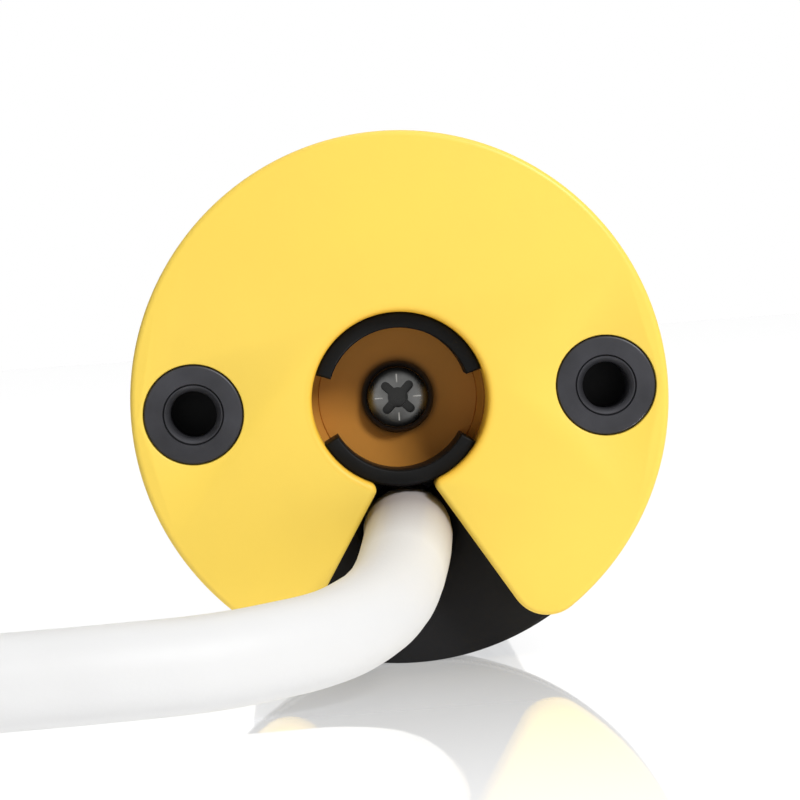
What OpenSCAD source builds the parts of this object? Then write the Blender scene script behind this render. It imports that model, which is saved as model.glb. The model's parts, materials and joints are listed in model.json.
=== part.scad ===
// Tubular roller blind motor, lying on a table with its cable tied in a hank beside it.
// The motor's axis is Y. Its mounting face is at y = 0 and faces -Y, and Z is up.

/* [Head] */
// Radius of the yellow end plate
plate_r = 24.75; // [24:0.05:26]
// Thickness of the end plate
plate_t = 6.5; // [5.5:0.1:8]
// Rounding of the plate's front edge
plate_edge = 0.8; // [0.3:0.1:1.5]
// Radius of the black flange behind the plate
flange_r = 24.9; // [24.2:0.05:26]
// Thickness of the flange
flange_t = 9.5; // [9:0.1:12]
// Distance between the two mounting threads
thread_spacing = 38; // [36:0.5:38]
// Radius of the mounting threads' bore
thread_r = 2.1; // [1.6:0.05:2.4]
// Outer radius of the threaded inserts
insert_r = 4.55; // [4:0.05:4.8]
// Length of the threaded inserts
insert_l = 14; // [9:0.5:15]

/* [Centre recess] */
// Radius of the recess in the plate
recess_r = 8.1; // [7.8:0.1:8.3]
// Depth of the recess
recess_d = 10; // [8:0.5:11]
// Thickness of the recess floor
cup_floor_t = 1.5; // [1:0.1:2]
// Inner radius of the black collar in the recess
collar_r = 6.6; // [6:0.1:6.9]
// Depth of the collar's front edge below the face
collar_drop = 2; // [1:0.1:4]
// Radius of the centre screw's head
screw_head_r = 3; // [2.5:0.1:3.2]

/* [Cable slot] */
// Width of the slot where it starts under the recess
throat_w = 5.2; // [4.5:0.1:6]
// Depth of the slot's start below the axis
throat_z = 8.1; // [7.8:0.1:8.4]
// Half angle of the slot
slot_angle = 31.8; // [28:0.1:34]
// Rounding of the plate's corners beside the slot
slot_corner = 3.5; // [2:0.1:4]
// Depth of the cable hole's centre below the axis
cable_z = 12.5; // [12.4:0.1:12.8]

/* [Cable] */
// Diameter of the cable
cable_d = 8.2; // [7.6:0.1:8.3]
// Radius of the folds of the hank, at the cable's centre
fold_r = 24.6; // [22:0.2:26]
// Length of the straight runs of the hank
hank_run = 66; // [56:2:76]
// Whole loops in the hank, before its last run
hank_loops = 5; // [2:1:6]
// Step between the layers of the hank
layer_step = 9; // [8.9:0.1:10]
// How far each run is drawn in at the waist
waist_in = 5; // [2:0.5:6]
// Thickness of the strap round the hank
tie_t = 0.8; // [0.5:0.1:1]
// Width of the strap round the hank
tie_w = 8; // [5:0.5:12]
// Diameter of one insulated core
core_d = 2.4; // [2:0.1:2.6]

/* [Tube and crown] */
// Outer radius of the motor tube
tube_r = 19; // [18.8:0.05:19.1]
// Wall of the motor tube
tube_wall = 1; // [0.8:0.05:1.1]
// Thickness of the crown, from the motor tube to the roller tube's bore
crown_wall = 4.4; // [4:0.1:5]
// Length of the crown
crown_l = 15.4; // [14:0.2:18]
// Thickness of the crown's front lip
crown_lip_t = 2; // [1:0.2:3]
// How far the crown's front lip stands out
crown_lip = 1; // [0.6:0.1:1.2]
// Width of the driving notches in the crown and the drive wheel
notch_w = 8; // [5:0.5:10]
// Depth of those notches
notch_d = 1.4; // [0.8:0.1:1.6]

/* [Electronics] */
// Length of the electronics tray
tray_l = 114; // [110:1:125]
// Height of the tray's edge and of the board on it, below the axis
board_z = 4; // [3:0.5:5]
// Thickness of the circuit boards
board_t = 1.6; // [1:0.1:2]
// Length of the run capacitor
capacitor_l = 38; // [30:1:42]
// Radius of the run capacitor
capacitor_r = 11.4; // [9:0.1:11.6]

/* [Motor] */
// Length of the stator's iron
stator_l = 70; // [60:1:90]
// Radius of the rotor
rotor_r = 9.5; // [9:0.1:9.8]
// Air gap between the rotor and the stator
air_gap = 0.3; // [0.2:0.05:0.5]
// Radius of the rotor's shaft
shaft_r = 2.5; // [2.2:0.1:2.6]
// Outer radius of the rotor's bearings
bearing_r = 5.5; // [5:0.1:6]
// Length that the windings stand out of the iron
winding_l = 7.5; // [6:0.5:9]
// Travel of the brake's armature
brake_travel = 0.5; // [0.3:0.1:0.7]

/* [Gearbox] */
// Wall of the ring gear outside its teeth
ring_wall = 2.5; // [2:0.1:3]
// Teeth of each sun gear
sun_teeth = 12; // [12]
// Teeth of each planet gear
planet_teeth = 21; // [21]
// Face width of the planets in the first two stages
planet_w = 7.4; // [6:0.1:9]
// Face width of the planets in the last stage
last_planet_w = 9.4; // [8:0.1:12]
// Thickness of the planet carriers
carrier_t = 3; // [2.5:0.1:4]
// Radius of the planet pins
pin_r = 2; // [1.6:0.1:2.2]

/* [Output] */
// Radius of the output shaft
output_r = 5; // [4.5:0.1:5.5]
// Length of the output bearing's housing
end_cap_l = 18.6; // [16:0.2:24]
// Width of the drive wheel
wheel_w = 28; // [20:1:36]
// Distance from the tube's end to the drive wheel
wheel_gap = 6; // [4:0.5:12]

/* [Fits] */
// Clearance of a fixed fit
fit_gap = 0.05; // [0.02:0.01:0.1]
// Radial clearance of a running fit
run_gap = 0.08; // [0.06:0.01:0.1]
// Clearance along the axis between pieces that turn
end_gap = 0.6; // [0.4:0.1:0.8]

/* [Hidden] */
$fn = 96;
cut = 1;

// Head
flange_y = plate_t + flange_t;
thread_x = thread_spacing / 2;
floor_z = -flange_r;
bore_lead_r = thread_r + 0.6;
bore_lead_d = 0.4;
collar_arcs = [[16.5, 160], [207.5, 327]];
cup_gaps = [[collar_arcs[0][1], collar_arcs[1][0]], [collar_arcs[1][1], collar_arcs[0][0] + 360]];
cup_wall = 1.2;
cup_play = 0.5;
cup_back = recess_d + cup_floor_t;
screw_shank_r = 1.45;
screw_head_h = 2.2;
screw_end = flange_y + 3;
screw_tip = screw_end - 0.4;
screw_boss_r = 3.6;
cross_l = 3.8;
cross_w = 0.8;
cross_d = 1.3;
cable_r = cable_d / 2;
cable_hole_r = cable_r + 0.2;
mouth_flare = 1.2;
sheath_end = flange_y + 11;
wire_step = core_d / 2 + 0.2;
wire_z = -cable_z + 0.8;
spigot_l = 9.5;
spigot_wall = 2.4;
spigot_r = tube_r - tube_wall - fit_gap;
spigot_in = spigot_r - spigot_wall;
spigot_room = [2, 0.8];

// Cable clamp
clamp_t = 6;
clamp_wall = 3;
clamp_screw_r = 1.2;
clamp_screw_head_r = 2;
clamp_screw_head_h = 1.6;
clamp_screw_depth = 6;
clamp_screw_l = 5.6;
clamp_screw_x = cable_r + clamp_screw_head_r + 0.5;
clamp_half = clamp_screw_x + clamp_screw_head_r;
clamp_room = 1;

// Limit buttons: their axes stand radially in the flange
button_angles = [122, 58];
button_cap_r = 2.5;
button_stem_r = 1.3;
button_y = plate_t + flange_t / 2;
button_sunk = 0.2;
button_cap_l = 5;
button_travel = 1.2;
button_floor = flange_r - button_sunk - button_cap_l - button_travel - 0.2;
key_out = 14;
key_in = 10.9;
key_w = 6;
key_l = 6.5;
button_stem_end = key_out + button_travel + 0.2;
key_room = 0.3;
key_board_t = 1.2;
key_board_r = [9.5, spigot_in - 1.5];
key_board_arc = [35, 145];

// Crown and its counter
crown_y = flange_y + end_gap;
crown_gear_y = crown_y + 3.4;
crown_tooth_room = 1;
crown_teeth = 80;
counter_module = (tube_r + crown_tooth_room) / (crown_teeth / 2);
counter_teeth = 16;
counter_w = 5;
groove_room = 0.2;
counter_groove = counter_w + 2 * groove_room;
counter_axis = counter_module * (crown_teeth - counter_teeth) / 2;
counter_pitch_r = counter_module * counter_teeth / 2;
axle_r = 1.25;
frame_front = flange_y + key_board_t + 0.4;
frame_front_t = 1.8;
frame_rear = crown_gear_y + counter_groove + 1;
frame_rear_t = 3;
axle_end = frame_rear + frame_rear_t + 2.4;
magnet_r = tube_r - tube_wall - counter_axis - run_gap;
magnet_t = 2;
window_w = 2 * (counter_pitch_r + 1.2);
window_room = 0.6;
roller_r = tube_r + crown_wall;
crown_bore_r = tube_r + run_gap;
clip_t = 1.2;
clip_r = tube_r + 2;
clip_mouth = 4;
post_r = 1.2;
post_x = 6;
pillar_r = 2.4;
pillar_x = 9;
post_z = 9;
sensor_y = axle_end + 0.7;
sensor_low = 2;
sensor_t = 1.2;
sensor_w = 16;
sensor_top = sqrt(pow(tube_r - tube_wall - run_gap, 2) - pow(sensor_w / 2, 2));
post_end = sensor_y + sensor_t + 1;

// Electronics
tray_y = frame_rear + frame_rear_t + 7;
tray_end = tray_y + tray_l;
tray_wall = 1.3;
tray_r = spigot_r;
board_y = tray_y + 1;
board_l = tray_l - capacitor_l - 6;
board_w = 2 * sqrt(pow(tray_r, 2) - pow(board_z, 2)) - 2.4;
block_y = tray_y + 2;
block_l = 12;
block_w = 16;
block_h = sqrt(pow(tray_r - tray_wall - fit_gap, 2) - pow(block_w / 2, 2)) - board_z;
relay = [10, 14, 10];
relay_y = block_y + block_l + 8;
relay_gap = 18;
capacitor_end = tray_end - 1;
capacitor_z = -(tray_r - tray_wall - fit_gap - capacitor_r);
lead_r = 0.9;
lead_angles = [78, 90, 102];

// Motor
shield_t = 6;
front_shield_y = tray_end + 2;
bearing_w = 4;
bearing_front_y = front_shield_y + shield_t - bearing_w;
stator_y = front_shield_y + shield_t + winding_l + 2;
stator_end = stator_y + stator_l;
stator_bore = rotor_r + air_gap;
rotor_short = 0.5;
slot_count = 12;
slot_in = stator_bore + 1.2;
slot_out = spigot_r - 1.9;
lead_ring_r = (slot_in + slot_out) / 2;
slot_w = 3;
winding_gap = 0.1;
rear_shield_y = stator_end + winding_l + 2;
rear_shield_end = rear_shield_y + shield_t;
brake_room = 3;
coil_r = [6, spigot_r - brake_room];
coil_l = 6.5;
coil_end = rear_shield_end + coil_l;
armature_y = coil_end + brake_travel + 0.3;
armature_t = 2;
guide_y = rear_shield_end + 1;
armature_r = spigot_r - brake_room;
brake_disc_y = armature_y + armature_t + 0.1;
brake_disc_t = 2.5;
brake_disc_r = armature_r - 0.5;
gearbox_y = brake_disc_y + brake_disc_t + 0.4;

// Gearbox: three equal stages, ring held still, sun drives, carrier gives out
ring_teeth = sun_teeth + 2 * planet_teeth;
planet_count = 3;
tip_share = 0.8;
root_share = 1.05;
pressure_angle = 20;
gear_module = (spigot_r - ring_wall) / (ring_teeth / 2 + root_share);
planet_centre = gear_module * (sun_teeth + planet_teeth) / 2;
tooth_thinning = 0.03;
front_wall = 2;
sun_over = 0.4;
stage_1_y = gearbox_y + front_wall + 2;
carrier_1_y = stage_1_y + planet_w + end_gap;
stage_2_y = carrier_1_y + carrier_t + 1;
carrier_2_y = stage_2_y + planet_w + end_gap;
stage_3_y = carrier_2_y + carrier_t + 1;
carrier_3_y = stage_3_y + last_planet_w + end_gap;
carrier_3_t = carrier_t + 1;
gearbox_end = carrier_3_y + carrier_3_t + end_gap;
carrier_r = gear_module * (ring_teeth / 2 - root_share) - 0.5;
sun_bore_r = 1.75;
shaft_over = 0.6;
journal_r = shaft_r + 1.6;

// Output
end_cap_y = gearbox_end + 0.2;
tube_end = end_cap_y + end_cap_l;
cap_lip_t = 2;
bush_wall = 2.2;
bush_y = end_cap_y + 2;
bush_end = tube_end + cap_lip_t - 0.5;
wheel_y = tube_end + wheel_gap;
wheel_end = wheel_y + wheel_w;
wheel_hub_r = 9;
wheel_rim_t = 2.6;
wheel_web_t = 5;
spoke_count = 6;
spoke_w = 3.2;
wheel_clip_t = 1;
wheel_clip_r = output_r + 2;
clip_groove = 0.8;
shaft_end = wheel_end + wheel_clip_t + 4;
key_flat = 0.8;
neck_r = output_r - 1;
neck_y = carrier_3_y + 1;
wheel_clip_y = wheel_end + 0.2;
wheel_clip_mouth = 3;
screw_count = 4;
first_screw = 45;
tube_screw_r = 1.5;
tube_screw_l = 3.6;
tube_screw_sunk = 0.1;
head_screw_y = flange_y + spigot_l - 2.6;
cap_screw_y = end_cap_y + end_cap_l / 2;

// Cable route from the hole to the start of the hank, on the cable's own centre line
tie_room = 0.3;
cable_lift = tie_t + tie_room;
cable_rest_z = floor_z + cable_lift + cable_r;
route = [
    [0, plate_t, -cable_z],
    [0, 5, -cable_z],
    [-0.1, 2, -12.8],
    [-0.4, -2, -13.5],
    [-1, -6.5, -14.7],
    [-1.8, -11, -16],
    [-3.1, -15.6, -17.2],
    [-5.2, -20.2, -18.2],
    [-8.3, -24.6, -19],
    [-12.5, -28.4, -19.4],
    [-18, -31.6, cable_rest_z],
    [-25, -34.2, cable_rest_z],
    [-33.5, -35.7, cable_rest_z],
    [-43, -36.4, cable_rest_z],
    [-53, -36.5, cable_rest_z],
    [-63.6, -36.5, cable_rest_z]
];
route_end = route[len(route) - 1];

// Hank: it starts on the near fold, straight on from the route's end
hank_x = route_end[0] - cable_d;
hank_y = route_end[1] + fold_r;
quarter = 3;
run_steps = 6;
fold_steps = 2 * quarter;
loop_rings = 2 * run_steps + 2 * fold_steps;
hank_end_l = 1.5 * cable_d;
tube_sides = 6;
free_sides = 10;
core_sides = 8;

// Cores at the cable's bare end
core_names = ["brown", "black", "blue", "earth"];
core_l = 42;
core_pitch = core_d / 2 + 0.3;
ferrule_r = 0.8;
ferrule_l = 8;

// Helpers

// Extrudes a drawing, made as seen from the front, from depth y over length l
module slab(y, l) {
    translate([0, y + l, 0]) rotate([90, 0, 0]) linear_extrude(l) children();
}

// Cylinder along the motor's axis
module rod(r, y0, y1) {
    translate([0, y0, 0]) rotate([-90, 0, 0]) cylinder(r = r, h = y1 - y0);
}

// Tube along the motor's axis
module pipe(ro, ri, y0, y1) {
    difference() {
        rod(ro, y0, y1);
        rod(ri, y0 - cut, y1 + cut);
    }
}

// Cone along the motor's axis
module cone(r0, r1, y0, y1) {
    translate([0, y0, 0]) rotate([-90, 0, 0]) cylinder(r1 = r0, r2 = r1, h = y1 - y0);
}

// Box from its lowest to its highest corner
module block(low, high) {
    translate(low) cube(high - low);
}

// Places children at a radius and angle round the axis, as seen from the front
module at(radius, angle) {
    translate([radius * cos(angle), 0, radius * sin(angle)]) children();
}

// Turns children round the axis, as seen from the front
module round_axis(angle) {
    rotate([0, -angle, 0]) children();
}

// Cylinder that stands radially, from radius r0 to r1, drawn at the right and turned to its angle
module spoke_rod(r, r0, r1, y, angle) {
    round_axis(angle) translate([r0, y, 0]) rotate([0, 90, 0]) cylinder(r = r, h = r1 - r0);
}

// Drawing of a sector of a disc
module sector(r, from, to) {
    reach = 2 * r;
    middle = (from + to) / 2;
    intersection() {
        circle(r);
        polygon([
            [0, 0], reach * [cos(from), sin(from)], reach * [cos(middle), sin(middle)],
            reach * [cos(to), sin(to)]
        ]);
    }
}

// Gears

function polar(r, a) = [r * cos(a), r * sin(a)];
function involute(a) = tan(a) * 180 / PI - a;
function pressure_at(r, base) = r > base ? acos(base / r) : 0;

// Half angle of a tooth at radius r, thinned by thin along the arc
function half_tooth(r, teeth, mod, thin) =
    let (base = mod * teeth / 2 * cos(pressure_angle))
    90 / teeth + involute(pressure_angle) - involute(pressure_at(r, base)) - thin / r * 180 / PI;

function gear_points(teeth, mod, root, tip, thin, steps = 4) = [
    for (i = [0 : teeth - 1])
        each let (
            a = 360 * i / teeth,
            radii = [for (k = [0 : steps]) root + (tip - root) * k / steps]
        ) [
            for (k = [0 : steps]) polar(radii[k], a - half_tooth(radii[k], teeth, mod, thin)),
            for (k = [steps : -1 : 0]) polar(radii[k], a + half_tooth(radii[k], teeth, mod, thin))
        ]
];

// Drawing of a gear with outer teeth, a tooth at angle 0
module gear(teeth, mod) {
    pitch = mod * teeth / 2;
    polygon(gear_points(teeth, mod, pitch - root_share * mod, pitch + tip_share * mod, tooth_thinning));
}

// Drawing of the space inside a gear with inner teeth, a gap at angle 0
module inner_gear_space(teeth, mod) {
    pitch = mod * teeth / 2;
    polygon(gear_points(teeth, mod, pitch - tip_share * mod, pitch + root_share * mod, -tooth_thinning));
}

// Angle of tube screw number k round the axis
function screw_angle(k) = first_screw + 360 * k / screw_count;

// Angle of planet number k round the sun
function planet_angle(k) = 360 * k / planet_count;

module planet(k, y, w) {
    angle = planet_angle(k);
    turn = -angle * (ring_teeth / planet_teeth - 1);
    color("silver") at(planet_centre, angle) difference() {
        slab(y, w) rotate(turn) gear(planet_teeth, gear_module);
        rod(pin_r + run_gap, y - cut, y + w + cut);
    }
}

// Carrier disc with its planet pins, which reach forward through the planets
module carrier_disc(y, t, stage_y) {
    rod(carrier_r, y, y + t);
    for (k = [0 : planet_count - 1]) {
        at(planet_centre, planet_angle(k)) rod(pin_r, stage_y, y + t / 2);
    }
}

// Head

// Drawing of the cable slot, open to the rim
module slot_wedge() {
    start = throat_z - throat_w / 2 / tan(slot_angle);
    reach = 2 * plate_r;
    wide = (reach - start) * tan(slot_angle);
    polygon([[0, -start], [-wide, -reach], [wide, -reach]]);
}

// Drawing of what the rounding takes off the plate's right corner beside the slot
module slot_corner_cut() {
    along = [sin(slot_angle), -cos(slot_angle)];
    across = [cos(slot_angle), sin(slot_angle)];
    start = [throat_w / 2, -throat_z] + slot_corner * across;
    b = start * along;
    far = plate_r - slot_corner;
    centre = start + along * (-b + sqrt(b * b - start * start + far * far));
    on_slot = centre - slot_corner * across;
    on_rim = centre * plate_r / far;
    difference() {
        polygon([
            centre, on_slot - 0.2 * across, on_slot + along * slot_corner * 2 - 0.2 * across,
            on_rim * 1.1, on_rim
        ]);
        translate(centre) circle(slot_corner);
    }
}

// Disc with its front edge rounded
module edged_disc(r, t, edge) {
    rotate([-90, 0, 0]) rotate_extrude() {
        square([r - edge, t]);
        translate([0, edge]) square([r, t - edge]);
        translate([r - edge, edge]) intersection() {
            circle(edge);
            translate([0, -edge]) square([edge, edge]);
        }
    }
}

module head_plate() {
    color([0.99, 0.80, 0.30]) difference() {
        union() {
            difference() {
                edged_disc(plate_r, plate_t, plate_edge);
                slab(-cut, plate_t + 2 * cut) {
                    slot_wedge();
                    slot_corner_cut();
                    mirror([1, 0]) slot_corner_cut();
                }
                rod(recess_r, -cut, plate_t + cut);
            }
            for (gap = cup_gaps) {
                slab(plate_t - cut, cup_back - plate_t + cut) difference() {
                    sector(recess_r + cup_wall, gap[0], gap[1]);
                    circle(recess_r);
                }
                slab(recess_d, cup_floor_t) sector(recess_r + cup_wall, gap[0], gap[1]);
            }
            rod(collar_r - fit_gap, recess_d, cup_back);
        }
        for (side = [-1, 1]) {
            translate([side * thread_x, 0, 0]) rod(insert_r + fit_gap, -cut, plate_t + cut);
        }
        rod(screw_shank_r + run_gap, recess_d - cut, cup_back + cut);
    }
}

// Space behind the plate that the recess's cup fills
module cup_pocket() {
    rod(collar_r, 0, cup_back + fit_gap);
    for (gap = cup_gaps) {
        slab(0, cup_back + fit_gap)
            sector(recess_r + cup_wall + fit_gap, gap[0] - cup_play, gap[1] + cup_play);
    }
}

module button_hole(angle) {
    spoke_rod(button_cap_r + run_gap, button_floor, flange_r + cut, button_y, angle);
    spoke_rod(button_stem_r + run_gap, key_in, flange_r, button_y, angle);
    round_axis(angle) block(
        [key_in - key_room, button_y - key_l / 2 - key_room, -key_w / 2 - key_room],
        [key_out + button_travel + key_room, flange_y + cut, key_w / 2 + key_room]
    );
}

module head_body() {
    color([0.13, 0.13, 0.14]) difference() {
        union() {
            rod(flange_r, plate_t, flange_y);
            slab(collar_drop, plate_t - collar_drop + cut) for (arc = collar_arcs) {
                sector(recess_r - fit_gap, arc[0], arc[1]);
            }
            // the spigot is a ring of its own, welded on: its seam stands open by the fit
            pipe(spigot_r, spigot_in, flange_y + fit_gap, flange_y + spigot_l);
            rod(screw_boss_r, flange_y - cut, screw_end);
        }
        cup_pocket();
        for (side = [-1, 1]) {
            translate([side * thread_x, 0, 0]) rod(insert_r + fit_gap, 0, insert_l);
            translate([side * clamp_screw_x, 0, -cable_z + clamp_wall])
                rod(clamp_screw_r + fit_gap, flange_y - clamp_screw_depth, flange_y + cut);
        }
        rod(screw_shank_r + fit_gap, 0, screw_end + cut);
        translate([0, 0, -cable_z]) {
            rod(cable_hole_r, 0, flange_y + cut);
            cone(cable_hole_r + mouth_flare, cable_hole_r, plate_t, plate_t + mouth_flare);
        }
        for (angle = button_angles) {
            button_hole(angle);
        }
        // room in the spigot for the counter's pinion above and the cable below
        block(
            [-window_w / 2 - spigot_room[0], frame_front - groove_room, counter_axis - counter_pitch_r],
            [window_w / 2 + spigot_room[0], flange_y + spigot_l + cut, tube_r]
        );
        block(
            [-cable_hole_r - spigot_room[1], flange_y, -tube_r],
            [cable_hole_r + spigot_room[1], flange_y + spigot_l + cut, -cable_z + cable_r / 2]
        );
        for (k = [0 : screw_count - 1]) {
            spoke_rod(
                tube_screw_r + fit_gap, spigot_in - cut, tube_r, head_screw_y,
                screw_angle(k)
            );
        }
    }
}

module threaded_inserts() {
    color([0.27, 0.27, 0.31]) for (side = [-1, 1]) {
        translate([side * thread_x, 0, 0]) difference() {
            rod(insert_r, 0, insert_l - fit_gap);
            rod(thread_r, -cut, insert_l + cut);
            cone(bore_lead_r + cut, thread_r, -cut, bore_lead_d);
        }
    }
}

module centre_screw() {
    color([0.35, 0.33, 0.31]) difference() {
        union() {
            rod(screw_head_r, recess_d - screw_head_h, recess_d);
            rod(screw_shank_r, recess_d - cut, screw_tip);
        }
        for (turn = [0, 90]) {
            round_axis(turn) block(
                [-cross_l / 2, recess_d - screw_head_h - cut, -cross_w / 2],
                [cross_l / 2, recess_d - screw_head_h + cross_d, cross_w / 2]
            );
        }
    }
}

module cable_clamp() {
    color([0.2, 0.2, 0.21]) difference() {
        slab(flange_y, clamp_t) difference() {
            intersection() {
                translate([-clamp_half, -cable_z]) square([2 * clamp_half, cable_r + clamp_wall]);
                circle(spigot_in - fit_gap);
            }
            translate([0, -cable_z]) circle(cable_r + fit_gap);
        }
        for (side = [-1, 1]) {
            translate([side * clamp_screw_x, 0, -cable_z + clamp_wall])
                rod(clamp_screw_r + fit_gap, flange_y - cut, flange_y + clamp_t + cut);
        }
    }
}

module clamp_screws() {
    top = flange_y + clamp_t;
    color("silver") for (side = [-1, 1]) {
        translate([side * clamp_screw_x, 0, -cable_z + clamp_wall]) {
            rod(clamp_screw_r, flange_y - clamp_screw_l, top + cut);
            rod(clamp_screw_head_r, top, top + clamp_screw_head_h);
        }
    }
}

module cable_lead_in() {
    color("white") translate([0, 0, -cable_z]) rod(cable_r, plate_t, sheath_end);
}

module limit_button(angle) {
    cap_end = flange_r - button_sunk;
    spoke_rod(button_cap_r, cap_end - button_cap_l, cap_end, button_y, angle);
    spoke_rod(button_stem_r, button_stem_end, cap_end - button_cap_l + cut, button_y, angle);
}

module limit_button_up() {
    color([0.9, 0.9, 0.88]) limit_button(button_angles[0]);
}

module limit_button_down() {
    color([0.95, 0.78, 0.28]) limit_button(button_angles[1]);
}

module key_board() {
    color("darkgreen") slab(flange_y, key_board_t) difference() {
        sector(key_board_r[1], key_board_arc[0], key_board_arc[1]);
        circle(key_board_r[0]);
    }
}

module key_switches() {
    color("dimgray") for (angle = button_angles) {
        round_axis(angle) block(
            [key_in, button_y - key_l / 2, -key_w / 2],
            [key_out, flange_y, key_w / 2]
        );
    }
}

// Tube and crown

module motor_tube() {
    color([0.72, 0.73, 0.75]) difference() {
        pipe(tube_r, tube_r - tube_wall, flange_y, tube_end);
        block(
            [-window_w / 2, crown_gear_y - window_room, 0],
            [window_w / 2, crown_gear_y + counter_groove + window_room, tube_r + cut]
        );
        for (y = [head_screw_y, cap_screw_y], k = [0 : screw_count - 1]) {
            spoke_rod(
                tube_screw_r + fit_gap, tube_r - tube_wall - cut, tube_r + cut, y,
                screw_angle(k)
            );
        }
    }
}

module tube_screws() {
    top = tube_r - tube_screw_sunk;
    color("gray") for (y = [head_screw_y, cap_screw_y], k = [0 : screw_count - 1]) {
        spoke_rod(
            tube_screw_r, top - tube_screw_l + tube_screw_sunk, top, y, screw_angle(k)
        );
    }
}

// Notches across a driving rim, into which a roller tube's keys reach
module drive_notches(y0, y1) {
    for (turn = [0, 180]) {
        round_axis(turn + 45) block(
            [roller_r - notch_d, y0 - cut, -notch_w / 2],
            [roller_r + 2, y1 + cut, notch_w / 2]
        );
    }
}

module crown() {
    color([0.16, 0.16, 0.17]) difference() {
        union() {
            rod(roller_r, crown_y, crown_y + crown_l);
            rod(roller_r + crown_lip, crown_y, crown_y + crown_lip_t);
        }
        rod(crown_bore_r, crown_y - cut, crown_y + crown_l + cut);
        slab(crown_gear_y, counter_groove) inner_gear_space(crown_teeth, counter_module);
        drive_notches(crown_y + crown_lip_t + cut, crown_y + crown_l);
    }
}

module crown_clip() {
    y = crown_y + crown_l + end_gap / 2;
    color("silver") slab(y, clip_t) difference() {
        circle(clip_r);
        circle(tube_r + fit_gap);
        translate([-clip_mouth / 2, -clip_r - cut]) square([clip_mouth, clip_r]);
    }
}

// Holes for the counter's axle and the sensor board's posts stand above the axis
module counter_frame() {
    color([0.85, 0.85, 0.82]) {
        difference() {
            union() {
                slab(frame_front, frame_front_t) {
                    circle(spigot_in - run_gap);
                    translate([0, counter_axis]) circle(tube_r - tube_wall - counter_axis - run_gap);
                }
                rod(spigot_r, frame_rear, frame_rear + frame_rear_t);
                for (side = [-1, 1]) {
                    translate([side * pillar_x, 0, 0])
                        rod(pillar_r, frame_front, frame_rear + frame_rear_t);
                    translate([side * post_x, 0, post_z]) rod(post_r, frame_rear, post_end);
                }
            }
            translate([0, 0, counter_axis])
                rod(axle_r + run_gap, frame_front - cut, frame_rear + frame_rear_t + cut);
            rod(screw_boss_r + run_gap, frame_front - cut, screw_end);
            block(
                [-clamp_half - clamp_room, frame_front - cut, -tube_r],
                [
                    clamp_half + clamp_room, frame_rear + frame_rear_t + cut,
                    -cable_z + cable_r + clamp_wall + clamp_room / 2
                ]
            );
        }
    }
}

module counter_pinion() {
    color("ivory") translate([0, 0, counter_axis]) {
        slab(crown_gear_y + groove_room, counter_w) gear(counter_teeth, counter_module);
        rod(axle_r, frame_front, axle_end);
    }
}

module counter_magnet() {
    color("dimgray") translate([0, 0, counter_axis])
        pipe(magnet_r, axle_r + fit_gap, axle_end - magnet_t, axle_end);
}

module sensor_board() {
    color("darkgreen") difference() {
        block(
            [-sensor_w / 2, sensor_y, post_z - sensor_low],
            [sensor_w / 2, sensor_y + sensor_t, sensor_top]
        );
        for (side = [-1, 1]) {
            translate([side * post_x, 0, post_z]) rod(post_r + fit_gap, sensor_y - cut, post_end);
        }
    }
}

// Electronics

module electronics_tray() {
    color([0.2, 0.2, 0.22]) slab(tray_y, tray_l) difference() {
        circle(tray_r);
        circle(tray_r - tray_wall);
        translate([-tray_r - cut, -board_z]) square([2 * (tray_r + cut), 2 * tray_r]);
    }
}

module control_board() {
    color("darkgreen") block(
        [-board_w / 2, board_y, -board_z],
        [board_w / 2, board_y + board_l, -board_z + board_t]
    );
}

module terminal_block() {
    color("seagreen") block(
        [-block_w / 2, block_y, -board_z - block_h],
        [block_w / 2, block_y + block_l, -board_z]
    );
}

// Cores of the cable between its sheath and the terminal block
module inner_wires() {
    color("saddlebrown") for (sx = [-1, 1], sz = [-1, 1]) {
        translate([sx * wire_step, 0, wire_z + sz * wire_step])
            rod(core_d / 2, sheath_end, block_y);
    }
}

module relays() {
    color([0.15, 0.25, 0.5]) for (k = [0, 1]) {
        y = relay_y + k * relay_gap;
        block(
            [-relay[0] / 2, y, -board_z + board_t],
            [relay[0] / 2, y + relay[1], -board_z + board_t + relay[2]]
        );
    }
}

module run_capacitor() {
    color([0.8, 0.8, 0.82]) translate([0, 0, capacitor_z])
        rod(capacitor_r, capacitor_end - capacitor_l, capacitor_end);
}

module motor_leads() {
    color("firebrick") for (angle = lead_angles) {
        at(lead_ring_r, angle) rod(lead_r, tray_end - capacitor_l, stator_y - winding_l);
    }
}

// Motor

module shield(y, seat_y) {
    difference() {
        rod(spigot_r, y, y + shield_t);
        rod(shaft_r + 1, y - cut, y + shield_t + cut);
        rod(bearing_r + fit_gap, seat_y, seat_y + bearing_w);
        children();
    }
}

module front_shield() {
    color("lightgray") shield(front_shield_y, bearing_front_y) {
        for (angle = lead_angles) {
            at(lead_ring_r, angle)
                rod(lead_r + fit_gap, front_shield_y - cut, front_shield_y + shield_t + cut);
        }
    }
}

module rear_shield() {
    color("lightgray") shield(rear_shield_y, rear_shield_y);
}

module rotor_bearings() {
    color("silver") for (y = [bearing_front_y, rear_shield_y]) {
        pipe(bearing_r, shaft_r + fit_gap, y, y + bearing_w);
    }
}

// Drawing of the slots in the stator's iron, made larger by grow on every side
module stator_slots(grow) {
    for (k = [0 : slot_count - 1]) {
        rotate(360 * k / slot_count) translate([slot_in - grow, -slot_w / 2 - grow])
            square([slot_out - slot_in + 2 * grow, slot_w + 2 * grow]);
    }
}

module stator_core() {
    color("slategray") slab(stator_y, stator_l) difference() {
        circle(spigot_r);
        circle(stator_bore);
        stator_slots(winding_gap);
    }
}

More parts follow.
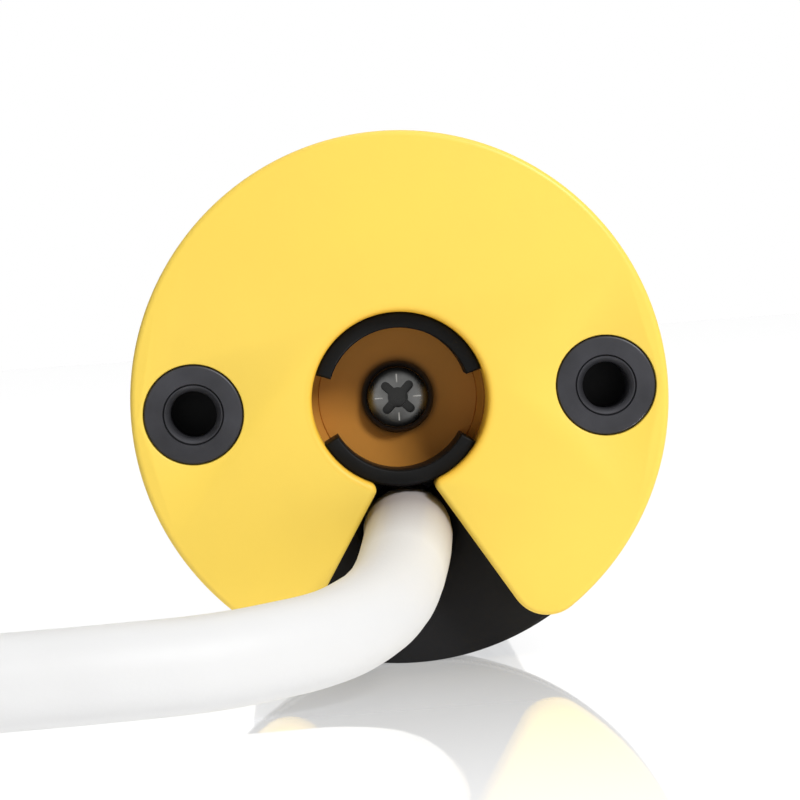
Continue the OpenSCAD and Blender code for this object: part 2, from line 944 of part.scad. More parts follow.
module stator_windings() {
    color([0.72, 0.40, 0.18]) {
        slab(stator_y - winding_l, stator_l + 2 * winding_l) stator_slots(0);
        for (y = [stator_y - winding_l, stator_end]) {
            pipe(slot_out, slot_in, y, y + winding_l);
        }
    }
}

module rotor_core() {
    color("darkgray") pipe(rotor_r, shaft_r + fit_gap, stator_y + rotor_short, stator_end - rotor_short);
}

module rotor_shaft() {
    color("silver") {
        rod(shaft_r, bearing_front_y - shaft_over, gearbox_y + front_wall + shaft_over);
        rod(sun_bore_r, gearbox_y, stage_1_y + planet_w);
    }
}

module brake_coil() {
    color([0.6, 0.25, 0.15]) pipe(coil_r[1], coil_r[0], rear_shield_end, coil_end);
}

module brake_armature() {
    color("dimgray") {
        pipe(armature_r, journal_r, armature_y, armature_y + armature_t);
        pipe(coil_r[0] - run_gap, journal_r, guide_y, armature_y + armature_t / 2);
    }
}

module brake_disc() {
    color([0.35, 0.3, 0.25])
        pipe(brake_disc_r, shaft_r + fit_gap, brake_disc_y, brake_disc_y + brake_disc_t);
}

// Gearbox

module ring_gear() {
    color("gray") difference() {
        rod(spigot_r, gearbox_y, gearbox_end);
        rod(journal_r, gearbox_y - cut, gearbox_y + front_wall + cut);
        slab(gearbox_y + front_wall, gearbox_end - gearbox_y) inner_gear_space(ring_teeth, gear_module);
    }
}

module sun_gear() {
    color("gold") difference() {
        slab(stage_1_y - sun_over, planet_w + sun_over) gear(sun_teeth, gear_module);
        rod(sun_bore_r + fit_gap, gearbox_y, stage_1_y + planet_w + cut);
    }
}

module planet_1a() { planet(0, stage_1_y, planet_w); }
module planet_1b() { planet(1, stage_1_y, planet_w); }
module planet_1c() { planet(2, stage_1_y, planet_w); }

// Carrier of the first stage, with the second stage's sun on it
module carrier_1() {
    color("goldenrod") {
        carrier_disc(carrier_1_y, carrier_t, stage_1_y);
        slab(carrier_1_y + carrier_t - cut, stage_2_y + planet_w - carrier_1_y - carrier_t + cut)
            gear(sun_teeth, gear_module);
    }
}

module planet_2a() { planet(0, stage_2_y, planet_w); }
module planet_2b() { planet(1, stage_2_y, planet_w); }
module planet_2c() { planet(2, stage_2_y, planet_w); }

// Carrier of the second stage, with the last stage's sun on it
module carrier_2() {
    color("goldenrod") {
        carrier_disc(carrier_2_y, carrier_t, stage_2_y);
        slab(carrier_2_y + carrier_t - cut, stage_3_y + last_planet_w - carrier_2_y - carrier_t + cut)
            gear(sun_teeth, gear_module);
    }
}

module planet_3a() { planet(0, stage_3_y, last_planet_w); }
module planet_3b() { planet(1, stage_3_y, last_planet_w); }
module planet_3c() { planet(2, stage_3_y, last_planet_w); }

module carrier_3() {
    color("goldenrod") difference() {
        carrier_disc(carrier_3_y, carrier_3_t, stage_3_y);
        rod(neck_r + fit_gap, neck_y, carrier_3_y + carrier_3_t + cut);
    }
}

// Output

// Two flats that carry the wheel's drive, drawn as what they take off the shaft
module key_flats(y0, y1, shift) {
    for (side = [-1, 1]) {
        translate([side * (2 * output_r - key_flat + shift), 0, 0])
            block([-output_r, y0, -output_r - cut], [output_r, y1, output_r + cut]);
    }
}

module output_shaft() {
    color("silver") difference() {
        union() {
            rod(neck_r, neck_y, carrier_3_y + carrier_3_t + cut);
            rod(output_r, carrier_3_y + carrier_3_t, shaft_end);
        }
        key_flats(wheel_y, wheel_end, 0);
        pipe(
            2 * output_r, output_r - clip_groove, wheel_clip_y - fit_gap,
            wheel_clip_y + wheel_clip_t + fit_gap
        );
    }
}

module end_cap() {
    color([0.2, 0.2, 0.22]) difference() {
        union() {
            rod(spigot_r, end_cap_y, tube_end + cut);
            rod(tube_r, tube_end, tube_end + cap_lip_t);
        }
        rod(output_r + 1, end_cap_y - cut, bush_y + cut);
        rod(output_r + bush_wall + fit_gap, bush_y, tube_end + cap_lip_t + cut);
        for (k = [0 : screw_count - 1]) {
            spoke_rod(
                tube_screw_r + fit_gap, tube_r - tube_screw_l - fit_gap, tube_r + cut, cap_screw_y,
                screw_angle(k)
            );
        }
    }
}

module output_bush() {
    color("peru") pipe(output_r + bush_wall, output_r + fit_gap, bush_y, bush_end);
}

module drive_wheel() {
    web_y = wheel_y + (wheel_w - wheel_web_t) / 2;
    color([0.16, 0.16, 0.17]) difference() {
        union() {
            pipe(roller_r, roller_r - wheel_rim_t, wheel_y, wheel_end);
            rod(wheel_hub_r, wheel_y, wheel_end);
            for (k = [0 : spoke_count - 1]) {
                round_axis(360 * k / spoke_count) block(
                    [wheel_hub_r - cut, web_y, -spoke_w / 2],
                    [roller_r - wheel_rim_t + 0.5, web_y + wheel_web_t, spoke_w / 2]
                );
            }
        }
        difference() {
            rod(output_r + fit_gap, wheel_y - cut, wheel_end + cut);
            key_flats(wheel_y - cut, wheel_end + cut, fit_gap);
        }
        drive_notches(wheel_y, wheel_end);
    }
}

module wheel_clip() {
    color("silver") slab(wheel_clip_y, wheel_clip_t) difference() {
        circle(wheel_clip_r);
        circle(output_r - clip_groove + fit_gap);
        translate([-wheel_clip_mouth / 2, -wheel_clip_r - cut]) square([wheel_clip_mouth, wheel_clip_r]);
    }
}

// Cable

function unit(v) = v / norm(v);
function along(points, i) =
    unit(points[min(i + 1, len(points) - 1)] - points[max(i - 1, 0)]);

// Ring of points round point i of a path, square to the path
function ring_points(points, i, r, sides, turn) =
    let (
        t = along(points, i),
        u = unit(cross(t, [0, 0, 1])),
        v = cross(u, t)
    ) [
        for (k = [0 : sides - 1])
            let (a = 360 * k / sides + turn) points[i] + r * (cos(a) * u + sin(a) * v)
    ];

// Closed tube of triangles swept along points
module sweep(points, r, sides) {
    last = len(points) - 1;
    turn = 180 / sides;
    rings = [for (i = [0 : last]) each ring_points(points, i, r, sides, turn)];
    walls = [
        for (i = [0 : last - 1], k = [0 : sides - 1])
            each let (
                a = i * sides + k,
                b = i * sides + (k + 1) % sides
            ) [[a, b + sides, b], [a, a + sides, b + sides]]
    ];
    front = [for (k = [1 : sides - 2]) [0, k, k + 1]];
    back = [for (k = [1 : sides - 2]) [last * sides, last * sides + k + 1, last * sides + k]];
    polyhedron(rings, concat(walls, front, back));
}

function smooth(t) = t * t * (3 - 2 * t);
function waist(t) = waist_in * pow(sin(180 * t), 2);

// Centre of the cable at step i of loop j: near fold, left run, far fold, climbing right run, near fold
function hank_point(j, i) =
    let (
        left = quarter,
        far = left + run_steps,
        right = far + fold_steps,
        near = right + run_steps,
        z = cable_rest_z + j * layer_step
    )
    i < left ? [
        hank_x + fold_r * cos(270 - 90 * i / quarter),
        hank_y + fold_r * sin(270 - 90 * i / quarter),
        z
    ] : i < far ? let (t = (i - left) / run_steps) [
        hank_x - fold_r + waist(t), hank_y + hank_run * t, z
    ] : i < right ? let (a = 180 - 90 * (i - far) / quarter) [
        hank_x + fold_r * cos(a), hank_y + hank_run + fold_r * sin(a), z
    ] : i < near ? let (t = (i - right) / run_steps) [
        hank_x + fold_r - waist(t), hank_y + hank_run * (1 - t), z + layer_step * smooth(t)
    ] : [
        hank_x + fold_r * cos(-90 * (i - near) / quarter),
        hank_y + fold_r * sin(-90 * (i - near) / quarter),
        z + layer_step
    ];

hank_steps = hank_loops * loop_rings + quarter + run_steps;
hank_path = [
    route_end,
    for (n = [0 : hank_steps]) hank_point(floor(n / loop_rings), n % loop_rings),
    hank_point(hank_loops, quarter + run_steps) + [0, hank_end_l, 0]
];
hank_end = hank_path[len(hank_path) - 1];

// Least gap between the hank's turns, and the cable's length, measured on the path's points
function path_length(points) =
    len(points) < 2 ? 0 : [for (i = [1 : len(points) - 1]) norm(points[i] - points[i - 1])] *
        [for (i = [1 : len(points) - 1]) 1];

// Distance from point p to the stretch of a path between points a and b
function stretch_gap(p, a, b) =
    let (t = max(0, min(1, (p - a) * (b - a) / ((b - a) * (b - a))))) norm(p - a - t * (b - a));

hank_gap = min([
    for (i = [0 : len(hank_path) - 2], k = [0 : len(hank_path) - 1])
        if (abs(i - k) > loop_rings / 2) stretch_gap(hank_path[k], hank_path[i], hank_path[i + 1])
]) - cable_d;
union() {  // cable_hank
    echo(hank_least_gap = hank_gap);
    echo(cable_length = path_length(route) + path_length(hank_path));
}

module cable() {
    color("white") sweep(route, cable_r, free_sides);
}

module cable_hank() {
    color("white") sweep(hank_path, cable_r, tube_sides);
}

// Strap round both runs at the waist
module hank_tie() {
    half = fold_r - waist_in + cable_r + tie_room;
    low = floor_z + tie_t;
    high = cable_rest_z + hank_loops * layer_step + cable_r + tie_room;
    color([0.2, 0.2, 0.2]) translate([hank_x, 0, 0])
        slab(hank_y + (hank_run - tie_w) / 2, tie_w) difference() {
            translate([-half - tie_t, low - tie_t])
                square([2 * (half + tie_t), high - low + 2 * tie_t]);
            translate([-half, low]) square([2 * half, high - low]);
        }
}

// Path of core k, which fans out to the right of the cable's end and rises a little
function core_path(k) =
    let (
        start = hank_end + core_pitch * [k % 2 == 0 ? 1 : -1, 0, k < 2 ? 1 : -1],
        drift = [2.2 * (k % 2 == 0 ? 3 - k / 2 : 1.2 - k / 2), 0, k < 2 ? 2 : 0.6]
    ) [
        for (t = [0, 0.2, 0.35, 0.55, 0.75, 0.9, 1])
            start + [0, core_l * t, 0] + drift * smooth(max(0, min((t - 0.2) / 0.7, 1)))
    ];

module cable_cores() {
    colours = ["saddlebrown", "black", "blue", "yellowgreen"];
    for (k = [0 : len(core_names) - 1]) {
        color(colours[k]) sweep(core_path(k), core_d / 2, core_sides);
    }
}

module core_ferrules() {
    color("silver") for (k = [0 : len(core_names) - 1]) {
        path = core_path(k);
        translate(path[len(path) - 1]) rod(ferrule_r, 0, ferrule_l);
    }
}

head_plate();
head_body();
threaded_inserts();
centre_screw();
cable_clamp();
clamp_screws();
cable_lead_in();
limit_button_up();
limit_button_down();
key_board();
key_switches();
motor_tube();
tube_screws();
crown();
crown_clip();
counter_frame();
counter_pinion();
counter_magnet();
sensor_board();
electronics_tray();
control_board();
terminal_block();
inner_wires();
relays();
run_capacitor();
motor_leads();
front_shield();
rear_shield();
rotor_bearings();
stator_core();
stator_windings();
rotor_core();
rotor_shaft();
brake_coil();
brake_armature();
brake_disc();
ring_gear();
sun_gear();
planet_1a();
planet_1b();
planet_1c();
carrier_1();
planet_2a();
planet_2b();
planet_2c();
carrier_2();
planet_3a();
planet_3b();
planet_3c();
carrier_3();
output_shaft();
end_cap();
output_bush();
drive_wheel();
wheel_clip();
cable();
cable_hank();
hank_tie();
cable_cores();
core_ferrules();
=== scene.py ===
import json
import math
from functools import partial

import bmesh
import bpy
from bpy.props import FloatProperty, FloatVectorProperty, IntProperty, PointerProperty
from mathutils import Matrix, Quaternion, Vector


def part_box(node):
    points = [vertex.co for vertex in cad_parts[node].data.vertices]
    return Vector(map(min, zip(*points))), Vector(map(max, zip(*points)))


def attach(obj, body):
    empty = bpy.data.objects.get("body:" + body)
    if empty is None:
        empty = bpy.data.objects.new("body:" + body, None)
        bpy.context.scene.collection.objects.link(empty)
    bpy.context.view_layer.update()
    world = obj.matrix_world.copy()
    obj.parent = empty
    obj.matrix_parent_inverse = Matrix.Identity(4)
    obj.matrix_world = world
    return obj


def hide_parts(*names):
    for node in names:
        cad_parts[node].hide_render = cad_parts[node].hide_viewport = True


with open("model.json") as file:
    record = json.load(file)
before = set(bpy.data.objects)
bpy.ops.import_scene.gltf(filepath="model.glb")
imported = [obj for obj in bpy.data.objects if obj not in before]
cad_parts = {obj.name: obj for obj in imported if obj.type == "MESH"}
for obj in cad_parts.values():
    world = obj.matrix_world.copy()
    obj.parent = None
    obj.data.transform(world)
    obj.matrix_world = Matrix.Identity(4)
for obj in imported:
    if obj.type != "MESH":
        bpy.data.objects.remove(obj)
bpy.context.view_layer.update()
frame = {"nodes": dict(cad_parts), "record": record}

bl_info = {
    "name": "Tubular blind motor",
    "version": (1, 0, 0),
    "blender": (4, 5, 0),
    "location": "View3D > Sidebar > Motor",
    "description": "Models a tubular blind motor with its cable and roller fittings on a table",
    "category": "Object",
}

MM = 0.001
FULL_TURN = 2 * math.pi
BODY = "motor"

# Points nearer than this count as one, in metres
NEAR = 1e-6

# Colour sockets of a Mix node: both inputs and the output
MIX_A, MIX_B, MIX_OUT = 6, 7, 2

# Places that the solids give, in metres
PLATE_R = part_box("head_plate")[1][0]
FLANGE_LOW, FLANGE_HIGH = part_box("head_body")
CROWN_LOW, CROWN_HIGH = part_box("crown")
WHEEL_LOW, WHEEL_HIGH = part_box("drive_wheel")
TIE_LOW, TIE_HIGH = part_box("hank_tie")
TUBE_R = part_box("motor_tube")[1][0]
FLOOR_Z = FLANGE_LOW[2]

# Cable route from the hole to the start of the hank, on the cable's centre line
REST_Z = -0.0197
ROUTE = (
    (0, 0.0065, -0.0125),
    (0, 0.005, -0.0125),
    (-0.0001, 0.002, -0.0128),
    (-0.0004, -0.002, -0.0135),
    (-0.001, -0.0065, -0.0147),
    (-0.0018, -0.011, -0.016),
    (-0.0031, -0.0156, -0.0172),
    (-0.0052, -0.0202, -0.0182),
    (-0.0083, -0.0246, -0.019),
    (-0.0125, -0.0284, -0.0194),
    (-0.018, -0.0316, REST_Z),
    (-0.025, -0.0342, REST_Z),
    (-0.0335, -0.0357, REST_Z),
    (-0.043, -0.0364, REST_Z),
    (-0.053, -0.0365, REST_Z),
    (-0.0636, -0.0365, REST_Z),
)


# Kinds of settings
length_setting = partial(FloatProperty, unit="LENGTH", precision=5)
angle_setting = partial(FloatProperty, subtype="ANGLE")
colour_setting = partial(FloatVectorProperty, subtype="COLOR", size=3, min=0, max=1)


class HeadSettings(bpy.types.PropertyGroup):
    """Sizes and colours of the motor's head."""
    plate_r: length_setting(
        name="Plate radius", description="Radius of the end plate", default=PLATE_R)
    plate_t: length_setting(
        name="Plate thickness", description="Thickness of the end plate", default=0.0065)
    edge: length_setting(
        name="Plate edge", description="Rounding of the plate's front edges", default=0.00055)
    recess_r: length_setting(
        name="Recess radius", description="Radius of the centre recess", default=0.0081)
    recess_d: length_setting(
        name="Recess depth", description="Depth of the centre recess", default=0.010)
    collar_r: length_setting(
        name="Collar radius", description="Inner radius of the black collar", default=0.0066)
    throat_half: length_setting(
        name="Throat half width", description="Half width of the cable slot at its start",
        default=0.0026)
    throat_z: length_setting(
        name="Throat depth", description="Depth of the cable slot's start below the axis",
        default=0.0081)
    slot_angle: angle_setting(
        name="Slot half angle", description="Half angle of the cable slot",
        default=math.radians(31.8))
    slot_corner: length_setting(
        name="Slot corner", description="Rounding of the plate beside the slot's mouth",
        default=0.0035)
    throat_corner: length_setting(
        name="Throat corner", description="Rounding of the plate between the recess and the slot",
        default=0.00075)
    thread_x: length_setting(
        name="Thread distance", description="Distance of each mounting thread from the axis",
        default=0.019)
    insert_r: length_setting(
        name="Insert radius", description="Outer radius of the threaded inserts", default=0.00455)
    thread_r: length_setting(
        name="Thread radius", description="Inner radius of the mounting threads", default=0.00215)
    screw_r: length_setting(
        name="Screw radius", description="Radius of the centre screw's head", default=0.0029)
    yellow: colour_setting(
        name="Plate colour", description="Colour of the end plate", default=(0.93, 0.66, 0.092))
    black: colour_setting(
        name="Flange colour", description="Colour of the flange and the collar",
        default=(0.011, 0.011, 0.012))
    dark_steel: colour_setting(
        name="Insert colour", description="Colour of the threaded inserts",
        default=(0.046, 0.046, 0.053))


class CableSettings(bpy.types.PropertyGroup):
    """Sizes and colours of the cable and its hank."""
    diameter: length_setting(
        name="Diameter", description="Diameter of the cable", default=0.0082)
    fold_r: length_setting(
        name="Fold radius", description="Radius of the hank's folds at the cable's centre",
        default=0.0246)
    run: length_setting(
        name="Run", description="Length of the hank's straight runs", default=0.066)
    step: length_setting(
        name="Layer step", description="Height of one layer of the hank", default=0.009)
    waist: length_setting(
        name="Waist", description="How far each run is drawn in by the strap", default=0.005)
    loops: IntProperty(
        name="Loops", description="Whole loops of the hank before its last run",
        default=5, min=2, max=6)
    core_d: length_setting(
        name="Core diameter", description="Diameter of one insulated core", default=0.0024)
    core_l: length_setting(
        name="Core length", description="Length of the bare cores", default=0.042)
    white: colour_setting(
        name="Sheath colour", description="Colour of the cable's sheath",
        default=(0.745, 0.745, 0.745))


class StageSettings(bpy.types.PropertyGroup):
    """Camera, lamps and table."""
    distance: length_setting(
        name="Camera distance", description="Distance of the camera from the plate", default=0.360)
    azimuth: angle_setting(
        name="Camera azimuth", description="Turn of the camera round the upright axis",
        default=math.radians(-1.3))
    elevation: angle_setting(
        name="Camera elevation", description="Height of the camera above the plate's centre",
        default=math.radians(2.0))
    roll: angle_setting(
        name="Camera roll", description="Turn of the camera about its own axis",
        default=math.radians(-4.08))
    lens: FloatProperty(
        name="Lens", description="Focal length on a sensor of 36 mm", default=176.6)
    key: FloatProperty(
        name="Key light", description="Power of the lamp at the upper right in watts",
        default=21.6)
    fill: FloatProperty(
        name="Fill light", description="Power of the lamp at the left, in watts", default=0.5)
    top: FloatProperty(
        name="Top light", description="Power of the lamp above the motor, in watts", default=3.6)
    sky: FloatProperty(
        name="Surrounding light", description="Strength of the light from all round", default=0.07)


# Modelling helpers


def fresh():
    """Leaves edit mode and selects nothing."""
    if bpy.context.object and bpy.context.object.mode != "OBJECT":
        bpy.ops.object.mode_set(mode="OBJECT")
    bpy.ops.object.select_all(action="DESELECT")


def pick(*pieces):
    """Selects these objects, the first of them active."""
    fresh()
    for piece in pieces:
        piece.select_set(True)
    bpy.context.view_layer.objects.active = pieces[0]


def edit(piece):
    """Opens a piece in edit mode with nothing selected."""
    pick(piece)
    bpy.ops.object.mode_set(mode="EDIT")
    bpy.ops.mesh.select_mode(type="VERT")
    bpy.ops.mesh.select_all(action="DESELECT")


def arc(centre, radius, start, end, steps):
    """Points of an arc in a plane, angles in degrees."""
    angles = [math.radians(start + (end - start) * k / steps) for k in range(steps + 1)]
    x, z = centre
    return [(x + radius * math.cos(a), z + radius * math.sin(a)) for a in angles]


def circle(centre, radius, steps):
    """Points of a circle in a plane."""
    return arc(centre, radius, 0, 360, steps)[:-1]


def bar(start, end, half):
    """Outline of a bar along X from start to end, half its width to each side."""
    return [(start, -half), (end, -half), (end, half), (start, half)]


def line(name, points):
    """Draws a closed line through points by extruding one vertex, and stays in edit mode."""
    fresh()
    bpy.ops.mesh.primitive_plane_add(size=MM)
    piece = bpy.context.object
    piece.name = piece.data.name = name
    bpy.ops.object.mode_set(mode="EDIT")
    bpy.ops.mesh.select_mode(type="VERT")
    bpy.ops.mesh.select_all(action="SELECT")
    bpy.ops.mesh.merge(type="CENTER")
    bpy.ops.transform.translate(value=points[0])
    for before, after in zip(points, points[1:] + points[:1]):
        step = Vector(after) - Vector(before)
        bpy.ops.mesh.extrude_vertices_move(TRANSFORM_OT_translate={"value": step})
    bpy.ops.mesh.select_all(action="SELECT")
    bpy.ops.mesh.remove_doubles(threshold=1e-7)
    return piece


def close_up(piece):
    """Merges doubles, turns the faces outwards and leaves edit mode."""
    bpy.ops.mesh.select_all(action="SELECT")
    bpy.ops.mesh.remove_doubles(threshold=NEAR)
    bpy.ops.mesh.normals_make_consistent(inside=False)
    bpy.ops.object.mode_set(mode="OBJECT")
    return piece


def lathe(name, profile, steps=96):
    """Turns a closed profile of (radius, depth) points about the motor's axis."""
    piece = line(name, [(r, y, 0) for r, y in profile])
    bpy.ops.mesh.spin(steps=steps, angle=FULL_TURN, center=(0, 0, 0), axis=(0, 1, 0))
    return close_up(piece)


def prism(name, outline, y0, y1):
    """Extrudes an outline, drawn as seen from the front, from depth y0 to y1."""
    piece = line(name, [(x, y0, z) for x, z in outline])
    bpy.ops.mesh.edge_face_add()
    bpy.ops.mesh.extrude_region_move(TRANSFORM_OT_translate={"value": (0, y1 - y0, 0)})
    return close_up(piece)


def shift(piece, value):
    """Moves a piece's mesh and leaves its object at the origin."""
    edit(piece)
    bpy.ops.mesh.select_all(action="SELECT")
    bpy.ops.transform.translate(value=value)
    bpy.ops.object.mode_set(mode="OBJECT")
    return piece


def rotate(piece, euler):
    """Rotates a piece's mesh about the origin."""
    pick(piece)
    piece.rotation_euler = euler
    bpy.ops.object.transform_apply(location=True, rotation=True, scale=True)
    return piece


def turn(piece, angle):
    """Turns a piece about the motor's axis, counter-clockwise as seen from the front."""
    return rotate(piece, (0, -angle, 0))


def lay_radially(piece):
    """Turns a piece that stands along +Y so that it stands along +X."""
    return rotate(piece, (0, 0, -math.pi / 2))


def copy_of(piece):
    """Copies a piece with a mesh of its own."""
    pick(piece)
    bpy.ops.object.duplicate(linked=False)
    return bpy.context.object


def around(piece, count, first=0.0):
    """Copies a piece round the motor's axis and joins the copies with it."""
    turn(piece, first)
    ring = [piece]
    for k in range(1, count):
        ring.append(turn(copy_of(piece), FULL_TURN * k / count))
    return join(*ring)


def join(*pieces):
    """Joins pieces into the first one."""
    pick(*pieces)
    bpy.ops.object.join()
    return bpy.context.object


def carve(piece, tool, operation="DIFFERENCE"):
    """Cuts a tool out of a piece, or adds it, and removes the tool."""
    pick(piece)
    change = piece.modifiers.new("shape", "BOOLEAN")
    change.operation = operation
    change.solver = "EXACT"
    change.object = tool
    bpy.ops.object.modifier_apply(modifier=change.name)
    bpy.data.objects.remove(tool)
    return piece


def mark(piece, kind, test):
    """Opens a piece in edit mode and selects the edges or faces that pass a test."""
    edit(piece)
    bpy.ops.mesh.select_mode(type=kind)
    mesh = bmesh.from_edit_mesh(piece.data)
    for part in mesh.edges if kind == "EDGE" else mesh.faces:
        if test(part):
            part.select_set(True)
    bmesh.update_edit_mesh(piece.data)


def bevel_edges(piece, width, segments, test):
    """Rounds the edges whose two end points pass a test."""
    mark(piece, "EDGE", lambda e: all(test(v.co) for v in e.verts))
    bpy.ops.mesh.bevel(offset=width, segments=segments, affect="EDGES", clamp_overlap=False)
    bpy.ops.object.mode_set(mode="OBJECT")
    return piece


def flute_band(piece, border, depth, y, least_r):
    """Sinks a shallow panel into each outer face of the band at depth y."""
    def on_band(f):
        c = f.calc_center_median()
        near = abs(c.y - y) < 0.1 * MM and math.hypot(c.x, c.z) > least_r
        return near and f.normal.y ** 2 < 0.1

    mark(piece, "FACE", on_band)
    bpy.ops.mesh.inset(thickness=border, depth=-depth, use_individual=True)
    bpy.ops.object.mode_set(mode="OBJECT")
    return piece


def at_depth(y):
    """Test for points at depth y."""
    return lambda p: abs(p.y - y) < NEAR


def finish(piece, material, slot, *nodes, body=BODY, angle=32):
    """Smooths a piece, gives it its material and seats it in the frame."""
    pick(piece)
    bpy.ops.object.shade_smooth_by_angle(angle=math.radians(angle))
    piece.data.materials.clear()
    piece.data.materials.append(material)
    return seat(piece, slot, *nodes, body=body)


def seat(piece, slot, *nodes, body=BODY):
    """Lets a piece ride on its body in place of the solids that it stands for."""
    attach(piece, body)
    if nodes:
        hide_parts(*nodes)
    return piece


# Shader node groups


def new_group(name, inputs, outputs):
    """Makes a shader node group with its sockets."""
    group = bpy.data.node_groups.new(name, "ShaderNodeTree")
    for label, value in inputs:
        socket = group.interface.new_socket(label, in_out="INPUT", socket_type="NodeSocketFloat")
        socket.default_value = value
    for label in outputs:
        group.interface.new_socket(label, in_out="OUTPUT", socket_type="NodeSocketFloat")
    group.nodes.new("NodeGroupInput")
    group.nodes.new("NodeGroupOutput")
    return group


def built_once(build):
    """Builds a node group once, named after its function, and gives the same one after that."""
    name = build.__name__.replace("_", " ").capitalize()
    return lambda: bpy.data.node_groups.get(name) or build(name)


def ends(group):
    """Input and output node of a group."""
    nodes = group.nodes
    return nodes["Group Input"], nodes["Group Output"]


def noise(tree, scale, detail=3.0, stretch=(1, 1, 1)):
    """Noise texture on Object coordinates; returns its node."""
    place = tree.nodes.new("ShaderNodeTexCoord")
    mapping = tree.nodes.new("ShaderNodeMapping")
    mapping.inputs["Scale"].default_value = stretch
    texture = tree.nodes.new("ShaderNodeTexNoise")
    texture.inputs["Scale"].default_value = scale
    texture.inputs["Detail"].default_value = detail
    tree.links.new(place.outputs["Object"], mapping.inputs["Vector"])
    tree.links.new(mapping.outputs["Vector"], texture.inputs["Vector"])
    return texture


def spread(tree, value, low, high, from_low=0.3, from_high=0.7):
    """Maps a value from one range to another and returns the node."""
    node = tree.nodes.new("ShaderNodeMapRange")
    node.inputs["From Min"].default_value = from_low
    node.inputs["From Max"].default_value = from_high
    node.inputs["To Min"].default_value = low
    node.inputs["To Max"].default_value = high
    tree.links.new(value, node.inputs["Value"])
    return node


def surface_group(name, low, high):
    """Makes a surface group: the roughness to keep between, and three values that it puts out."""
    limits = ("Roughness Low", low), ("Roughness High", high)
    return new_group(name, limits, ("Roughness", "Height", "Cloud"))


def put_out(group, texture, height, from_low=0.3, from_high=0.7):
    """Spreads a texture over the group's roughness and puts both out, with the height."""
    given, out = ends(group)
    rough = spread(group, texture, 0, 1, from_low, from_high)
    group.links.new(given.outputs["Roughness Low"], rough.inputs["To Min"])
    group.links.new(given.outputs["Roughness High"], rough.inputs["To Max"])
    cloud = spread(group, texture, 0, 1, from_low, from_high)
    group.links.new(rough.outputs[0], out.inputs["Roughness"])
    group.links.new(height, out.inputs["Height"])
    group.links.new(cloud.outputs[0], out.inputs["Cloud"])
    return group


@built_once
def moulded_grain(name):
    """Group for moulded plastic: fine grain, soft flow marks and a roughness that follows them."""
    group = surface_group(name, 0.4, 0.55)
    fine = noise(group, 2600, 2.0)
    flow = noise(group, 85, 4.0)
    return put_out(group, flow.outputs[0], fine.outputs[0])


@built_once
def drawn_metal(name):
    """Group for drawn or turned metal: streaks along the motor's axis and a blotched surface."""
    group = surface_group(name, 0.25, 0.45)
    streak = noise(group, 900, 3.0, (1, 0.03, 1))
    blotch = noise(group, 220, 5.0)
    return put_out(group, blotch.outputs[0], streak.outputs[0])


@built_once
def layered_bands(name):
    """Group for stacked sheets or wound wire: fine bands across the motor's axis."""
    group = surface_group(name, 0.35, 0.6)
    place = group.nodes.new("ShaderNodeTexCoord")
    bands = group.nodes.new("ShaderNodeTexWave")
    bands.wave_type = "BANDS"
    bands.bands_direction = "Y"
    bands.inputs["Scale"].default_value = 320
    bands.inputs["Distortion"].default_value = 0.6
    group.links.new(place.outputs["Object"], bands.inputs["Vector"])
    return put_out(group, bands.outputs["Fac"], bands.outputs["Fac"], 0, 1)


@built_once
def axis_ring(name):
    """Group for what lies round the motor's axis: 1 within the inner radius, 0 past the outer."""
    group = new_group(name, (("Inner", 0.003), ("Outer", 0.004)), ("Mask",))
    given, out = ends(group)
    place = group.nodes.new("ShaderNodeTexCoord")
    across = group.nodes.new("ShaderNodeVectorMath")
    across.operation = "MULTIPLY"
    across.inputs[1].default_value = (1, 0, 1)
    reach = group.nodes.new("ShaderNodeVectorMath")
    reach.operation = "LENGTH"
    group.links.new(place.outputs["Object"], across.inputs[0])
    group.links.new(across.outputs[0], reach.inputs[0])
    mask = spread(group, reach.outputs["Value"], 1, 0)
    mask.interpolation_type = "SMOOTHSTEP"
    group.links.new(given.outputs["Inner"], mask.inputs["From Min"])
    group.links.new(given.outputs["Outer"], mask.inputs["From Max"])
    group.links.new(mask.outputs[0], out.inputs["Mask"])
    return group


# Materials


def surface(name, group, colour, shade, rough, depth, metallic=0.0, specular=0.5):
    """Material whose colour goes from colour to shade and whose gloss and relief follow a group."""
    if name in bpy.data.materials:
        return bpy.data.materials[name]
    material = bpy.data.materials.new(name)
    material.use_nodes = True
    tree = material.node_tree
    shader = tree.nodes["Principled BSDF"]
    shader.inputs["Metallic"].default_value = metallic
    shader.inputs["Specular IOR Level"].default_value = specular
    texture = tree.nodes.new("ShaderNodeGroup")
    texture.node_tree = group
    texture.inputs["Roughness Low"].default_value = rough[0]
    texture.inputs["Roughness High"].default_value = rough[1]
    mix = tree.nodes.new("ShaderNodeMix")
    mix.data_type = "RGBA"
    mix.inputs[MIX_A].default_value = (*colour, 1)
    mix.inputs[MIX_B].default_value = (*shade, 1)
    bump = tree.nodes.new("ShaderNodeBump")
    bump.inputs["Strength"].default_value = 0.5
    bump.inputs["Distance"].default_value = depth
    tree.links.new(texture.outputs["Cloud"], mix.inputs[0])
    tree.links.new(mix.outputs[MIX_OUT], shader.inputs["Base Color"])
    tree.links.new(texture.outputs["Roughness"], shader.inputs["Roughness"])
    tree.links.new(texture.outputs["Height"], bump.inputs["Height"])
    tree.links.new(bump.outputs["Normal"], shader.inputs["Normal"])
    return material


def darker(colour, share):
    """Colour times a share."""
    return tuple(c * share for c in colour)


def plastic(name, colour, rough=(0.42, 0.55), depth=1.2e-5, share=0.94, specular=0.5):
    """Moulded plastic."""
    shade = darker(colour, share)
    return surface(name, moulded_grain(), colour, shade, rough, depth, 0.0, specular)


